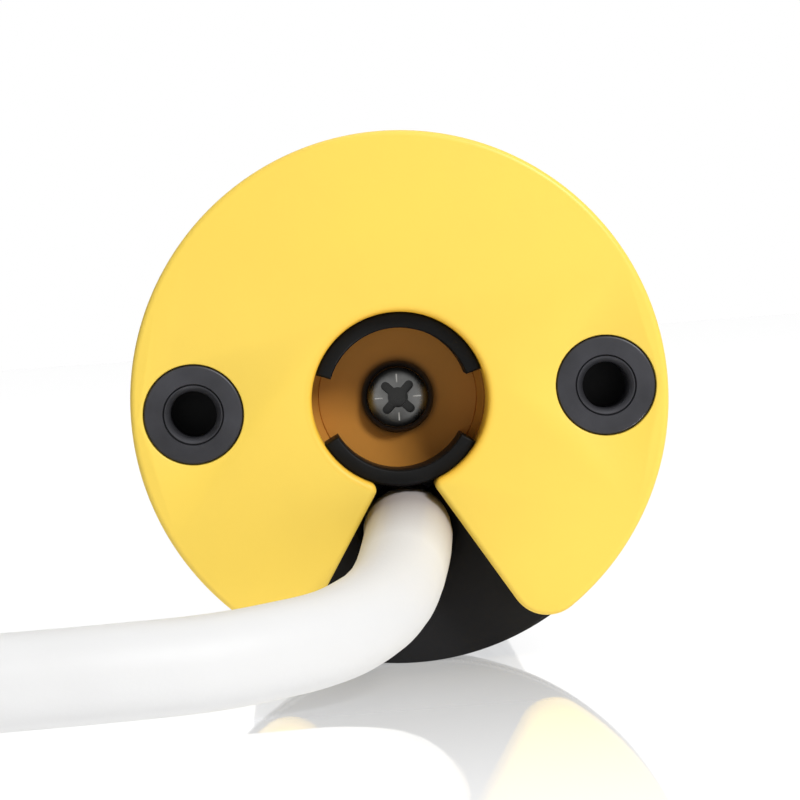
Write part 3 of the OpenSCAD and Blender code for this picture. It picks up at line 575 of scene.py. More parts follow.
def metal(name, colour, rough=(0.25, 0.42), depth=6e-6, share=0.85):
    """Drawn, turned or plated metal."""
    return surface(name, drawn_metal(), colour, darker(colour, share), rough, depth, 1.0)


def banded(name, colour, shade, rough=(0.35, 0.6), metallic=1.0):
    """Stacked sheets or wound wire."""
    return surface(name, layered_bands(), colour, shade, rough, 2e-5, metallic)


def yellow_plastic(name="yellow plastic"):
    """Satin yellow of the head."""
    head = bpy.context.scene.motor_head
    return plastic(name, tuple(head.yellow), (0.40, 0.52), 1.5e-5, 0.96, 0.45)


def ring_mask(tree, inner, outer):
    """Places the axis ring in a material and returns its mask."""
    ring = tree.nodes.new("ShaderNodeGroup")
    ring.node_tree = axis_ring()
    ring.inputs["Inner"].default_value = inner
    ring.inputs["Outer"].default_value = outer
    return ring.outputs["Mask"]


def tint(material, mask, colour):
    """Lays a colour over a material's own one where a mask is 1."""
    tree = material.node_tree
    base = tree.nodes["Principled BSDF"].inputs["Base Color"]
    mix = tree.nodes.new("ShaderNodeMix")
    mix.data_type = "RGBA"
    mix.inputs[MIX_B].default_value = (*colour, 1)
    tree.links.new(mask, mix.inputs[0])
    tree.links.new(base.links[0].from_socket, mix.inputs[MIX_A])
    tree.links.new(mix.outputs[MIX_OUT], base)


def maths(tree, operation, *values):
    """Math node on sockets; returns its result."""
    node = tree.nodes.new("ShaderNodeMath")
    node.operation = operation
    for value, socket in zip(values, node.inputs):
        tree.links.new(value, socket)
    return node.outputs[0]


def axes(tree):
    """Object coordinates, one output for each axis."""
    place = tree.nodes.new("ShaderNodeTexCoord")
    split = tree.nodes.new("ShaderNodeSeparateXYZ")
    tree.links.new(place.outputs["Object"], split.inputs[0])
    return split.outputs


def plate_plastic():
    """The plate's yellow, with a deeper orange at the edge and down the wall of the recess as
    painted glow and shade.
    """
    head = bpy.context.scene.motor_head
    material = yellow_plastic("plate plastic")
    # Painted glow and shade: a deeper orange round the recess edge and down its wall stands in for
    # light through the plastic and the shade of the recess.
    rim = ring_mask(material.node_tree, head.recess_r - 0.3 * MM, head.recess_r + 0.9 * MM)
    tint(material, rim, (0.93, 0.52, 0.035))
    return material


def amber_plastic():
    """The plate's yellow plastic, darkened to amber deep in the recess as painted shade, with a
    near-black ring of painted shade round the screw.
    """
    # Painted shade: the amber base colour is the plate's yellow, made darker and deeper as it looks
    # in the recess's shadow.
    material = plastic("amber plastic", (0.56, 0.242, 0.042), (0.34, 0.46), 1.5e-5, 0.86, 0.1)
    # Painted shade: a near-black ring round the screw stands in for the shadow in the groove round
    # its head.
    tint(material, ring_mask(material.node_tree, 2.9 * MM, 4.1 * MM), (0.010, 0.006, 0.004))
    return material


def black_plastic(name="black plastic"):
    """Satin black of the head's body."""
    head = bpy.context.scene.motor_head
    return plastic(name, tuple(head.black), (0.38, 0.55), 2.5e-5, 0.8, 0.12)


def flange_plastic():
    """Black of the flange, with painted shade on the collar in the recess."""
    head = bpy.context.scene.motor_head
    material = black_plastic("flange plastic")
    # Painted shade: the collar deep in the recess is made near-black where the plate shadows it.
    collar = ring_mask(material.node_tree, head.recess_r, head.recess_r + MM)
    tint(material, collar, (0.004, 0.004, 0.004))
    return material


def crown_plastic():
    """Glass-filled black of the crown and the drive wheel."""
    return plastic("crown plastic", (0.022, 0.022, 0.024), (0.4, 0.6), 4e-5, 0.75, 0.3)


def dark_insert_steel():
    """Darkened steel of the threaded inserts."""
    head = bpy.context.scene.motor_head
    return surface(
        "dark insert steel", drawn_metal(), tuple(head.dark_steel), darker(head.dark_steel, 0.5),
        (0.30, 0.48), 5e-6, 0.55)


def worn_screw_steel():
    """Darkened steel of the centre screw, worn bright in places."""
    return metal("worn screw steel", (0.085, 0.08, 0.077), (0.24, 0.5), 1.2e-5, 0.35)


def centre_screw_steel(top):
    """Steel of the centre screw: painted shade makes it dark at its rim and down in its cross, and
    a painted highlight makes it bright along its marks.
    """
    material = metal("centre screw steel", (0.19, 0.19, 0.185), (0.2, 0.4), 1.5e-5, 0.4)
    tree = material.node_tree
    along = axes(tree)
    # Painted shade: darker from 0.2 mm to 0.8 mm behind the top of the head, so the rim and the
    # cross look shaded.
    deep = spread(tree, along["Y"], 0, 1, top + 0.2 * MM, top + 0.8 * MM)
    tint(material, deep.outputs[0], (0.035, 0.035, 0.034))
    # Painted highlight: a light line along each of the four tick marks stands in for their glint.
    aside = [maths(tree, "ABSOLUTE", along[axis]) for axis in "XZ"]
    thin = spread(tree, maths(tree, "MINIMUM", *aside), 1, 0, 0.02 * MM, 0.09 * MM)
    ends_at = ring_mask(tree, 2.1 * MM, 2.25 * MM), ring_mask(tree, 1.35 * MM, 1.5 * MM)
    marks = maths(tree, "MULTIPLY", thin.outputs[0], maths(tree, "SUBTRACT", *ends_at))
    tint(material, marks, (0.36, 0.35, 0.33))
    return material


def white_sheath(name="white sheath"):
    """White sheath of the cable."""
    cable = bpy.context.scene.motor_cable
    return plastic(name, tuple(cable.white), (0.42, 0.56), 1.5e-5, 0.97, 0.35)


def soiled_sheath():
    """White sheath, greyed by painted shade where the cable leaves the head."""
    material = white_sheath("soiled sheath")
    tree = material.node_tree
    # Painted shade: the sheath is greyed over its last 10 mm in front of the plate and in the slot,
    # within about 22 mm of the axis, in place of the shade deep in the slot.
    near_head = spread(tree, axes(tree)["Y"], 0, 1, -10 * MM, 0)
    under_axis = ring_mask(tree, 22 * MM, 30 * MM)
    painted_shade_share = maths(tree, "MULTIPLY", near_head.outputs[0], under_axis)
    tint(material, painted_shade_share, (0.40, 0.37, 0.365))
    return material


# Finish of each of the record's material slots: its maker, then what the maker is told
FINISHES = {
    "plate_yellow": (yellow_plastic,),
    "head_black": (black_plastic,),
    "crown_black": (crown_plastic,),
    "insert_steel": (dark_insert_steel,),
    "screw_steel": (worn_screw_steel,),
    "cable_white": (white_sheath,),
    "tube_steel": (metal, "zinc plated tube", (0.40, 0.41, 0.43), (0.3, 0.46), 5e-6, 0.84),
    "bright_steel": (metal, "bright steel", (0.45, 0.45, 0.47), (0.2, 0.34)),
    "gear_steel": (metal, "gear steel", (0.5, 0.5, 0.52), (0.26, 0.4)),
    "gear_brass": (metal, "gear brass", (0.72, 0.5, 0.18), (0.25, 0.4)),
    "bush_bronze": (metal, "sintered bronze", (0.5, 0.3, 0.15), (0.45, 0.65), 2e-5, 0.7),
    "shield_alloy": (metal, "cast alloy", (0.6, 0.6, 0.61), (0.4, 0.6), 2e-5),
    "capacitor_can": (metal, "capacitor can", (0.72, 0.72, 0.74), (0.22, 0.32)),
    "magnet_grey": (metal, "magnet steel", (0.10, 0.10, 0.105), (0.4, 0.6)),
    "iron": (banded, "laminated iron", (0.22, 0.24, 0.27), (0.10, 0.11, 0.13)),
    "copper": (banded, "enamelled copper", (0.62, 0.26, 0.09), (0.38, 0.13, 0.04)),
    "lining_brown": (plastic, "brake lining", (0.09, 0.065, 0.05), (0.7, 0.9), 4e-5, 0.7),
    "button_white": (plastic, "white button", (0.80, 0.80, 0.77), (0.3, 0.42)),
    "button_yellow": (plastic, "yellow button", (0.88, 0.58, 0.09), (0.3, 0.42)),
    "board_green": (plastic, "board green", (0.012, 0.10, 0.04), (0.25, 0.4), 8e-6, 0.8),
    "switch_grey": (plastic, "switch grey", (0.08, 0.08, 0.085)),
    "frame_ivory": (plastic, "ivory plastic", (0.70, 0.69, 0.62)),
    "tray_dark": (plastic, "dark tray plastic", (0.03, 0.03, 0.036), (0.42, 0.55), 1.2e-5, 0.8),
    "terminal_green": (plastic, "terminal green", (0.03, 0.22, 0.08)),
    "relay_blue": (plastic, "relay blue", (0.015, 0.045, 0.22), (0.2, 0.32)),
    "lead_red": (plastic, "red lead", (0.35, 0.02, 0.018)),
    "core_insulation": (plastic, "brown core", (0.12, 0.045, 0.018), (0.35, 0.5)),
    "tie_black": (plastic, "strap black", (0.018, 0.018, 0.018), (0.75, 0.95), 6e-5, 0.6),
}


def slot_material(slot):
    """Material for one of the record's slots."""
    maker, *told = FINISHES[slot]
    return maker(*told)


# Camera


class MOTOR_OT_set_camera(bpy.types.Operator):
    """Puts the camera in front of the head"""
    bl_idname = "motor.set_camera"
    bl_label = "Set camera"

    def execute(self, context):
        stage = context.scene.motor_stage
        fresh()
        bpy.ops.object.camera_add()
        camera = context.object
        camera.name = "camera"
        flat = stage.distance * math.cos(stage.elevation)
        camera.location = (
            flat * math.sin(stage.azimuth),
            -flat * math.cos(stage.azimuth),
            stage.distance * math.sin(stage.elevation),
        )
        aim = (-Vector(camera.location)).to_track_quat("-Z", "Y")
        camera.rotation_euler = (aim @ Quaternion((0, 0, 1), stage.roll)).to_euler()
        camera.data.lens = stage.lens
        camera.data.sensor_width = 36
        camera.data.clip_start = 0.01
        context.scene.camera = camera
        return {"FINISHED"}


# Cable


def smooth_step(t):
    """Rises from 0 to 1 with level ends."""
    t = min(max(t, 0.0), 1.0)
    return t * t * (3 - 2 * t)


# Steps of the hank's centre line in a quarter of a circle, a run, a fold and a whole loop
QUARTER = 3
RUN_STEPS = 6
FOLD_STEPS = 2 * QUARTER
LOOP_STEPS = 2 * RUN_STEPS + 2 * FOLD_STEPS


def hank_point(cable, loop, i):
    """Centre of the cable at step i of a loop: near fold, left run, far fold, rising right run."""
    x0 = ROUTE[-1][0] - cable.diameter
    y0 = ROUTE[-1][1] + cable.fold_r
    z = REST_Z + loop * cable.step
    far = QUARTER + RUN_STEPS
    right = far + FOLD_STEPS
    near = right + RUN_STEPS
    turn_step = math.pi / 2 / QUARTER

    def fold(a, y, lift=0):
        return (x0 + cable.fold_r * math.cos(a), y0 + y + cable.fold_r * math.sin(a), z + lift)

    def drawn_in(t):
        return cable.fold_r - cable.waist * math.sin(math.pi * t) ** 2

    if i < QUARTER:
        return fold(math.radians(270) - turn_step * i, 0)
    if i < far:
        t = (i - QUARTER) / RUN_STEPS
        return (x0 - drawn_in(t), y0 + cable.run * t, z)
    if i < right:
        return fold(math.pi - turn_step * (i - far), cable.run)
    if i < near:
        t = (i - right) / RUN_STEPS
        return (x0 + drawn_in(t), y0 + cable.run * (1 - t), z + cable.step * smooth_step(t))
    return fold(-turn_step * (i - near), 0, cable.step)


def hank_path(cable):
    """Centre line of the hank, from the route's end to the cable's bare end."""
    last = QUARTER + RUN_STEPS
    points = [
        hank_point(cable, n // LOOP_STEPS, n % LOOP_STEPS)
        for n in range(cable.loops * LOOP_STEPS + last + 1)
    ]
    end = Vector(points[-1]) + Vector((0, 1.5 * cable.diameter, 0))
    return points + [tuple(end)]


def round_cord(name, points, radius, sides):
    """Curve of one smooth spline through points, as a round cord."""
    curve = bpy.data.curves.new(name, "CURVE")
    curve.dimensions = "3D"
    curve.bevel_depth = radius
    curve.bevel_resolution = sides
    curve.resolution_u = 10
    curve.use_fill_caps = True
    spline = curve.splines.new("BEZIER")
    spline.bezier_points.add(len(points) - 1)
    for knot, place in zip(spline.bezier_points, points):
        knot.co = place
        knot.handle_left_type = knot.handle_right_type = "AUTO"
    cord = bpy.data.objects.new(name, curve)
    bpy.context.scene.collection.objects.link(cord)
    return cord


class MOTOR_OT_lay_cable(bpy.types.Operator):
    """Lays the cable from its hole to the hank beside the motor"""
    bl_idname = "motor.lay_cable"
    bl_label = "Lay cable"

    def execute(self, context):
        cable = context.scene.motor_cable
        points = list(ROUTE) + hank_path(cable)
        sheath = round_cord("cable_sheath", points, cable.diameter / 2, 10)
        sheath.data.materials.append(soiled_sheath())
        seat(sheath, "cable_white", "cable", "cable_hank")
        cores, ferrules = fan_cores(cable, Vector(points[-1]))
        return {"FINISHED"}


# Colours of the cores, and the shares of their length at which their lines have points
CORE_FINISHES = (
    ("brown", (0.12, 0.045, 0.018)),
    ("black", (0.012, 0.012, 0.013)),
    ("blue", (0.012, 0.05, 0.30)),
    ("earth", (0.42, 0.36, 0.02)),
)
CORE_STATIONS = (0, 0.2, 0.35, 0.55, 0.75, 0.9, 1)


def core_path(cable, end, k):
    """Centre line of core k, which leaves the sheath straight and fans out to the right."""
    pitch = cable.core_d / 2 + 0.3 * MM
    start = end + pitch * Vector((1 if k % 2 == 0 else -1, 0, 1 if k < 2 else -1))
    fan = 2.2 * MM
    across = fan * (3 - k / 2 if k % 2 == 0 else 1.2 - k / 2)
    rise = 2 * MM if k < 2 else 0.6 * MM
    drift = Vector((across, 0, rise))
    return [
        start + Vector((0, cable.core_l * t, 0)) + drift * smooth_step((t - 0.2) / 0.7)
        for t in CORE_STATIONS
    ]


def stripe_earth(material):
    """Lays green stripes over the yellow of the earth core."""
    tree = material.node_tree
    mix = tree.nodes["Mix"]
    place = tree.nodes.new("ShaderNodeTexCoord")
    bands = tree.nodes.new("ShaderNodeTexWave")
    bands.bands_direction = "Z"
    bands.inputs["Scale"].default_value = 130
    step = spread(tree, bands.outputs["Fac"], 0, 1, 0.45, 0.55)
    tree.links.new(place.outputs["Object"], bands.inputs["Vector"])
    tree.links.new(step.outputs[0], mix.inputs[0])
    mix.inputs[MIX_B].default_value = (0.02, 0.16, 0.03, 1)


def fan_cores(cable, end):
    """Makes the insulated cores and the ferrules on their ends."""
    cores = []
    tips = []
    for k, (name, colour) in enumerate(CORE_FINISHES):
        path = core_path(cable, end, k)
        core = round_cord("core_" + name, path, cable.core_d / 2, 4)
        material = plastic(name + " core", colour, (0.35, 0.5))
        if name == "earth":
            stripe_earth(material)
        core.data.materials.append(material)
        cores.append(core)
        tips.append(path[-1])
    for core in cores:
        seat(core, "core_insulation", "cable_cores")
    r = 0.8 * MM
    collar_r = 1.15 * MM
    profile = [
        (0, 0), (collar_r, 0), (collar_r, 0.9 * MM), (r, 1.3 * MM), (r, 4 * MM),
        (0.9 * r, 4.3 * MM), (0.9 * r, 5 * MM), (r, 5.3 * MM), (r, 7.7 * MM),
        (0.8 * r, 8 * MM), (0, 8 * MM),
    ]
    master = lathe("ferrules", profile, 24)
    rest = [shift(copy_of(master), tip) for tip in tips[1:]]
    shift(master, tips[0])
    slot = "bright_steel"
    return cores, finish(join(master, *rest), slot_material(slot), slot, "core_ferrules")


class MOTOR_OT_tie_hank(bpy.types.Operator):
    """Wraps the strap round the hank's waist"""
    bl_idname = "motor.tie_hank"
    bl_label = "Tie hank"

    def execute(self, context):
        thick = 0.8 * MM
        corner = 4.2 * MM
        x0, x1 = TIE_LOW[0] + thick / 2, TIE_HIGH[0] - thick / 2
        z0, z1 = TIE_LOW[2] + thick / 2, TIE_HIGH[2] - thick / 2
        path = []
        for centre, start in (
            ((x1 - corner, z1 - corner), 0), ((x0 + corner, z1 - corner), 90),
            ((x0 + corner, z0 + corner), 180), ((x1 - corner, z0 + corner), 270),
        ):
            path += arc(centre, corner, start, start + 90, 8)
        strap = line("hank_strap", [(x, TIE_LOW[1], z) for x, z in path])
        width = TIE_HIGH[1] - TIE_LOW[1]
        bpy.ops.mesh.extrude_region_move(TRANSFORM_OT_translate={"value": (0, width, 0)})
        close_up(strap)
        wall = strap.modifiers.new("wall", "SOLIDIFY")
        wall.thickness = thick
        wall.offset = 0
        round_off = strap.modifiers.new("round off", "BEVEL")
        round_off.width = 0.2 * MM
        round_off.segments = 2
        pick(strap)
        bpy.ops.object.modifier_apply(modifier=wall.name)
        bpy.ops.object.modifier_apply(modifier=round_off.name)
        finish(strap, slot_material("tie_black"), "tie_black", "hank_tie")
        return {"FINISHED"}


# Head


def reach_circle(start, along, radius):
    """Point where a line meets a circle about the motor's axis."""
    b = start.dot(along)
    return start + along * (-b + math.sqrt(b * b - start.length_squared + radius * radius))


def mirrored(points):
    """The same points on the other side of the plate, in reverse."""
    return [(-x, z) for x, z in reversed(points)]


def plate_outline(head):
    """Outline of the end plate: rim, rounded corners, both sides of the slot and the recess."""
    a = head.slot_angle
    along = Vector((math.sin(a), -math.cos(a)))
    across = Vector((math.cos(a), math.sin(a)))
    start = Vector((head.throat_half, -head.throat_z))
    slot = math.degrees(a) - 180
    mouth = reach_circle(start + head.slot_corner * across, along, head.plate_r - head.slot_corner)
    rim = math.degrees(math.atan2(mouth.y, mouth.x))
    corner = head.throat_corner
    throat = reach_circle(start + corner * across, along, head.recess_r + corner)
    turn_in = math.degrees(math.atan2(throat.y, throat.x))
    right = arc(mouth, head.slot_corner, slot, rim, 14)
    outer = arc((0, 0), head.plate_r, rim, 180 - rim, 168)
    recess = arc((0, 0), head.recess_r, 180 - turn_in, turn_in, 84)
    inner = arc(throat, corner, turn_in + 180, slot + 360, 8)
    return right + outer[1:-1] + mirrored(right) + mirrored(inner) + recess[1:-1] + inner


# Angles where the cup's wall is cut away for the cable
CUP_GAP = (238, 302)


class MOTOR_OT_mould_plate(bpy.types.Operator):
    """Models the yellow end plate with its recess"""
    bl_idname = "motor.mould_plate"
    bl_label = "Mould plate"

    def execute(self, context):
        head = context.scene.motor_head
        plate = prism("end_plate", plate_outline(head), 0, head.plate_t)
        bevel_edges(plate, head.edge, 5, at_depth(0))
        hole_r = head.insert_r + 0.08 * MM
        for side in (-1, 1):
            hole = circle((side * head.thread_x, 0), hole_r, 64)
            carve(plate, prism("tool", hole, -MM, head.plate_t + MM))

        def on_hole(p):
            reach = math.hypot(abs(p.x) - head.thread_x, p.z)
            return abs(p.y) < NEAR and abs(reach - hole_r) < 10 * NEAR

        bevel_edges(plate, 0.18 * MM, 2, on_hole)
        back = head.recess_d + 1.5 * MM
        r = head.recess_r
        wall = r + 1.2 * MM
        bore = 1.6 * MM
        lead = 0.35 * MM
        notch = 0.1 * MM
        floor = head.recess_d
        rim = head.plate_t - lead
        groove = head.screw_r + 0.5 * MM
        dish = floor - 0.4 * MM
        cup = lathe("recess_cup", [
            (bore, floor), (head.screw_r - notch, floor), (head.screw_r, floor + MM),
            (groove, floor + MM), (groove, floor), (groove + lead, floor - notch),
            (r - 2 * lead, dish), (r - 1.8 * lead, dish + notch), (r, dish - 1.6 * lead),
            (r, rim), (wall, rim), (wall, back), (bore, back),
        ])
        finish(plate, plate_plastic(), "plate_yellow", "head_plate")
        start, end = CUP_GAP
        gap = arc((0, 0), r - notch, start, end, 16) + arc((0, 0), wall + MM, end, start, 16)
        carve(cup, prism("tool", gap, head.plate_t - 2 * MM, back + MM))
        finish(cup, amber_plastic(), "plate_yellow", "head_plate")
        return {"FINISHED"}


# Angles from start to end of the collar's two arcs, and angles of the up and the down button
COLLAR_ARCS = ((16.5, 160), (207.5, 327))
BUTTON_ANGLES = (122, 58)


class MOTOR_OT_mould_flange(bpy.types.Operator):
    """Models the black flange with its ribs, its collar and the cable's hole"""
    bl_idname = "motor.mould_flange"
    bl_label = "Mould flange"

    def execute(self, context):
        head = context.scene.motor_head
        r = FLANGE_HIGH[0]
        front = head.plate_t
        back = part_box("motor_tube")[0][1]
        bore = head.recess_r + 1.3 * MM
        edge = 0.35 * MM
        band = (front + 1.2 * MM, front + 4.9 * MM)
        low = r - 0.18 * MM
        spigot = TUBE_R - 1.05 * MM
        inside = spigot - 2.4 * MM
        end = FLANGE_HIGH[1]
        profile = [(bore, front), (r - edge, front)]
        profile += arc((r - edge, front + edge), edge, -60, 0, 4)
        profile += [(r, band[0]), (r, band[1]), (low, band[1] + 0.2 * MM)]
        profile += arc((low - edge, back - edge), edge, 0, 90, 4)
        profile += [(spigot, back), (spigot, end), (inside, end), (inside, back), (bore, back)]
        flange = lathe("flange", profile, 180)
        middle = sum(band) / 2
        flute_band(flange, 0.17 * MM, 0.14 * MM, middle, 0.9 * r)
        hole = 4.3 * MM
        mouth = 1.2 * MM
        channel = lathe("tool", [
            (0, front - MM), (hole + mouth, front - MM), (hole + mouth, front),
            (hole + 0.35 * mouth, front + 0.35 * mouth), (hole, front + mouth),
            (hole, back + MM), (0, back + MM),
        ], 64)
        carve(flange, shift(channel, (0, 0, ROUTE[0][2])))
        deep, wide = 18 * MM, 2.6 * MM
        for angle in BUTTON_ANGLES:
            tool = lathe("tool", [(0, deep), (wide, deep), (wide, r + MM), (0, r + MM)], 40)
            lay_radially(tool)
            shift(tool, (0, (front + back) / 2, 0))
            carve(flange, turn(tool, math.radians(angle)))
        pieces = [flange]
        drop = 2 * MM
        for first, last in COLLAR_ARCS:
            inner = arc((0, 0), head.collar_r, first, last, 48)
            outer = arc((0, 0), head.recess_r - 0.06 * MM, last, first, 48)
            collar = prism("collar", inner + outer, drop, head.recess_d - 0.05 * MM)
            bevel_edges(collar, 0.22 * MM, 3, at_depth(drop))
            pieces.append(collar)
        finish(join(*pieces), flange_plastic(), "head_black", "head_body")
        return {"FINISHED"}


class MOTOR_OT_turn_inserts(bpy.types.Operator):
    """Turns the two threaded inserts"""
    bl_idname = "motor.turn_inserts"
    bl_label = "Turn inserts"

    def execute(self, context):
        head = context.scene.motor_head
        top = 0.06 * MM
        edge = 0.22 * MM
        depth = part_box("threaded_inserts")[1][1]
        lead_r = head.thread_r + 0.6 * MM
        lead_y = top + 0.4 * MM
        pitch = 0.8 * MM
        thread_d = 0.34 * MM
        r = head.thread_r
        profile = [(head.insert_r, depth), (head.insert_r, top + edge)]
        profile += arc((head.insert_r - edge, top + edge), edge, 0, -90, 4)[1:]
        ring = 0.08 * MM
        profile += [
            (lead_r + ring, top), (lead_r, top + 2.5 * ring), (lead_r - ring, top + ring),
            (lead_r - 2 * ring, top + ring), (r + 0.05 * MM, lead_y),
        ]
        y = lead_y + 0.1 * MM
        while y + pitch < depth:
            profile += [(r, y), (r, y + 0.12 * MM), (r + thread_d, y + pitch / 2)]
            y += pitch
        profile += [(r, y), (r, depth)]
        right = lathe("insert", profile, 72)
        left = copy_of(right)
        shift(right, (head.thread_x, 0, 0))
        shift(left, (-head.thread_x, 0, 0))
        finish(join(right, left), dark_insert_steel(), "insert_steel", "threaded_inserts")
        return {"FINISHED"}


class MOTOR_OT_turn_screw(bpy.types.Operator):
    """Turns the centre screw and cuts its cross recess"""
    bl_idname = "motor.turn_screw"
    bl_label = "Turn screw"

    def execute(self, context):
        head = context.scene.motor_head
        low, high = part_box("centre_screw")
        r = head.screw_r
        top, seat_y = low[1], head.recess_d
        shank = 1.45 * MM
        dome = 0.75 * MM
        profile = [(0, top)]
        profile += [
            (r * math.sin(math.radians(a)), top + dome * (1 - math.cos(math.radians(a))))
            for a in range(15, 76, 10)
        ]
        edge, tip = 0.15 * MM, 0.6 * MM
        profile += [
            (r, top + 1.1 * MM), (r, seat_y - edge), (r - edge, seat_y), (shank, seat_y),
            (shank, high[1] - tip), (shank - tip, high[1]), (0, high[1]),
        ]
        screw = lathe("centre_screw_turned", profile, 96)
        wing = 0.42 * MM
        reach = 1.55 * MM
        floor = top + 1.9 * MM
        for angle in (45, 135):
            half = arc((reach, 0), wing, -90, 90, 8) + arc((-reach, 0), wing, 90, 270, 8)
            tool = prism("tool", half, top - MM, floor)
            carve(screw, turn(tool, math.radians(angle)))
        well = prism("tool", circle((0, 0), 0.95 * MM, 32), top - MM, floor + 0.3 * MM)
        carve(screw, well)
        tick_in, tick_out = 1.4 * MM, 2.2 * MM
        half_tick = 0.09 * MM
        for quarter in range(4):
            tick = bar(tick_in, tick_out, half_tick)
            tool = prism("tool", tick, top - MM, top + 0.3 * MM)
            carve(screw, turn(tool, FULL_TURN * quarter / 4))
        finish(screw, centre_screw_steel(top), "screw_steel", "centre_screw")
        return {"FINISHED"}


class MOTOR_OT_mould_buttons(bpy.types.Operator):
    """Models the two limit buttons in the flange's rim"""
    bl_idname = "motor.mould_buttons"
    bl_label = "Mould buttons"

    def execute(self, context):
        cap_r = 2.5 * MM
        out = FLANGE_HIGH[0] - 0.2 * MM
        base = out - 5 * MM
        stem_r, stem_end = 1.3 * MM, 15.4 * MM
        edge = 0.5 * MM
        profile = [
            (0, stem_end), (stem_r, stem_end), (stem_r, base), (cap_r, base), (cap_r, out - edge),
        ]
        profile += arc((cap_r - edge, out - edge), edge, 0, 90, 5)[1:]
        profile += [(1.5 * MM, out), (1.2 * MM, out - 0.3 * MM), (0, out - 0.4 * MM)]
        y = sum(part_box("limit_button_up")[k][1] for k in (0, 1)) / 2
        for angle, name in zip(BUTTON_ANGLES, ("up", "down")):
            button = lay_radially(lathe(name + "_button_cap", profile, 48))
            shift(button, (0, y, 0))
            turn(button, math.radians(angle))
            slot = "button_white" if name == "up" else "button_yellow"
            finish(button, slot_material(slot), slot, "limit_button_" + name, body=name + "_button")
        return {"FINISHED"}


# Tube and roller fittings


class MOTOR_OT_mould_crown(bpy.types.Operator):
    """Models the crown that the roller tube turns"""
    bl_idname = "motor.mould_crown"
    bl_label = "Mould crown"

    def execute(self, context):
        y0, y1 = CROWN_LOW[1], CROWN_HIGH[1]
        lip_r = CROWN_HIGH[0]
        r = lip_r - MM
        lip_y = y0 + 2 * MM
        bore = TUBE_R + 0.08 * MM
        edge = 0.4 * MM
        band = (lip_y + 2 * MM, y1 - 2 * MM)
        crown = lathe("crown_ring", [
            (bore, y0), (lip_r - edge, y0), (lip_r, y0 + edge), (lip_r, lip_y - edge),
            (lip_r - edge, lip_y), (r, lip_y), (r, band[0]), (r, band[1]),
            (r, y1 - edge), (r - edge, y1), (bore + edge, y1), (bore, y1 - edge),
        ], 96)
        middle = sum(band) / 2
        flute_band(crown, 0.3 * MM, 0.45 * MM, middle, r - MM)
        cut_notches(crown, r, lip_y + MM, y1 + MM)
        finish(crown, crown_plastic(), "crown_black", "crown", body="crown")
        return {"FINISHED"}


def cut_notches(ring, r, y0, y1):
    """Cuts the two driving notches into a ring."""
    half, depth = 4 * MM, 1.4 * MM
    for angle in (45, 225):
        notch = prism("tool", bar(r - depth, r + 2 * MM, half), y0, y1)
        carve(ring, turn(notch, math.radians(angle)))


class MOTOR_OT_mould_wheel(bpy.types.Operator):
    """Models the drive wheel with its spokes and hub"""
    bl_idname = "motor.mould_wheel"
    bl_label = "Mould wheel"

    def execute(self, context):
        y0, y1 = WHEEL_LOW[1], WHEEL_HIGH[1]
        r = WHEEL_HIGH[0]
        inner = r - 2.6 * MM
        edge = 0.5 * MM
        band = (y0 + 4 * MM, y1 - 4 * MM)
        rim = lathe("drive_wheel_moulded", [
            (inner, y0 + edge), (inner + edge, y0), (r - edge, y0), (r, y0 + edge), (r, band[0]),
            (r, band[1]), (r, y1 - edge), (r - edge, y1), (inner + edge, y1), (inner, y1 - edge),
        ], 96)
        middle = (y0 + y1) / 2
        flute_band(rim, 0.3 * MM, 0.45 * MM, middle, r - MM)
        hub_r, bore = 9 * MM, 5.05 * MM
        hub = lathe("hub", [
            (bore, y0), (hub_r - edge, y0), (hub_r, y0 + edge), (hub_r, y1 - edge),
            (hub_r - edge, y1), (bore, y1),
        ], 72)
        half, web = 1.6 * MM, 2.5 * MM
        root = 1.2 * MM
        spoke = prism("spoke", [
            (hub_r - MM, -half - MM), (hub_r + root, -half), (inner - root, -half),
            (inner + MM, -half - MM), (inner + MM, half + MM), (inner - root, half),
            (hub_r + root, half), (hub_r - MM, half + MM),
        ], middle - web, middle + web)
        spokes = around(spoke, 6)
        carve(rim, hub, "UNION")
        carve(rim, spokes, "UNION")
        cut_notches(rim, r, y0 - MM, y1 + MM)
        finish(rim, crown_plastic(), "crown_black", "drive_wheel", body="output")
        return {"FINISHED"}


class MOTOR_OT_turn_tube_screws(bpy.types.Operator):
    """Turns the screws that hold the head and the end cap in the tube"""
    bl_idname = "motor.turn_tube_screws"
    bl_label = "Turn tube screws"

    def execute(self, context):
        low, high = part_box("tube_screws")
        r = 1.5 * MM
        top = TUBE_R - 0.1 * MM
        tip = top - 3.5 * MM
        edge = 0.2 * MM
        profile = [(0, tip), (r, tip), (r, top - edge), (r - edge, top), (0, top)]
        screw = lathe("tube_screw_set", profile, 32)
        lay_radially(screw)
        arm, half = 1.0 * MM, 0.16 * MM
        for long_y in (arm, half):
            long_z = half if long_y == arm else arm
            cross = bar(top - 0.6 * MM, top + MM, long_z)
            carve(screw, prism("tool", cross, -long_y, long_y))
        rings = []
        for y in (low[1] + r, high[1] - r):
            rings.append(around(shift(copy_of(screw), (0, y, 0)), 4, math.radians(45)))
        bpy.data.objects.remove(screw)
        finish(join(*rings), worn_screw_steel(), "screw_steel", "tube_screws")
        return {"FINISHED"}


class MOTOR_OT_finish_solids(bpy.types.Operator):
    """Gives every solid that stays the finish of its material slot"""
    bl_idname = "motor.finish_solids"
    bl_label = "Finish solids"

    def execute(self, context):
        for row in frame["record"]["subparts"]:
            solid = frame["nodes"][row["node"]]
            solid.data.materials.clear()
            solid.data.materials.append(slot_material(row["material_slot"]))
        return {"FINISHED"}


# Stage


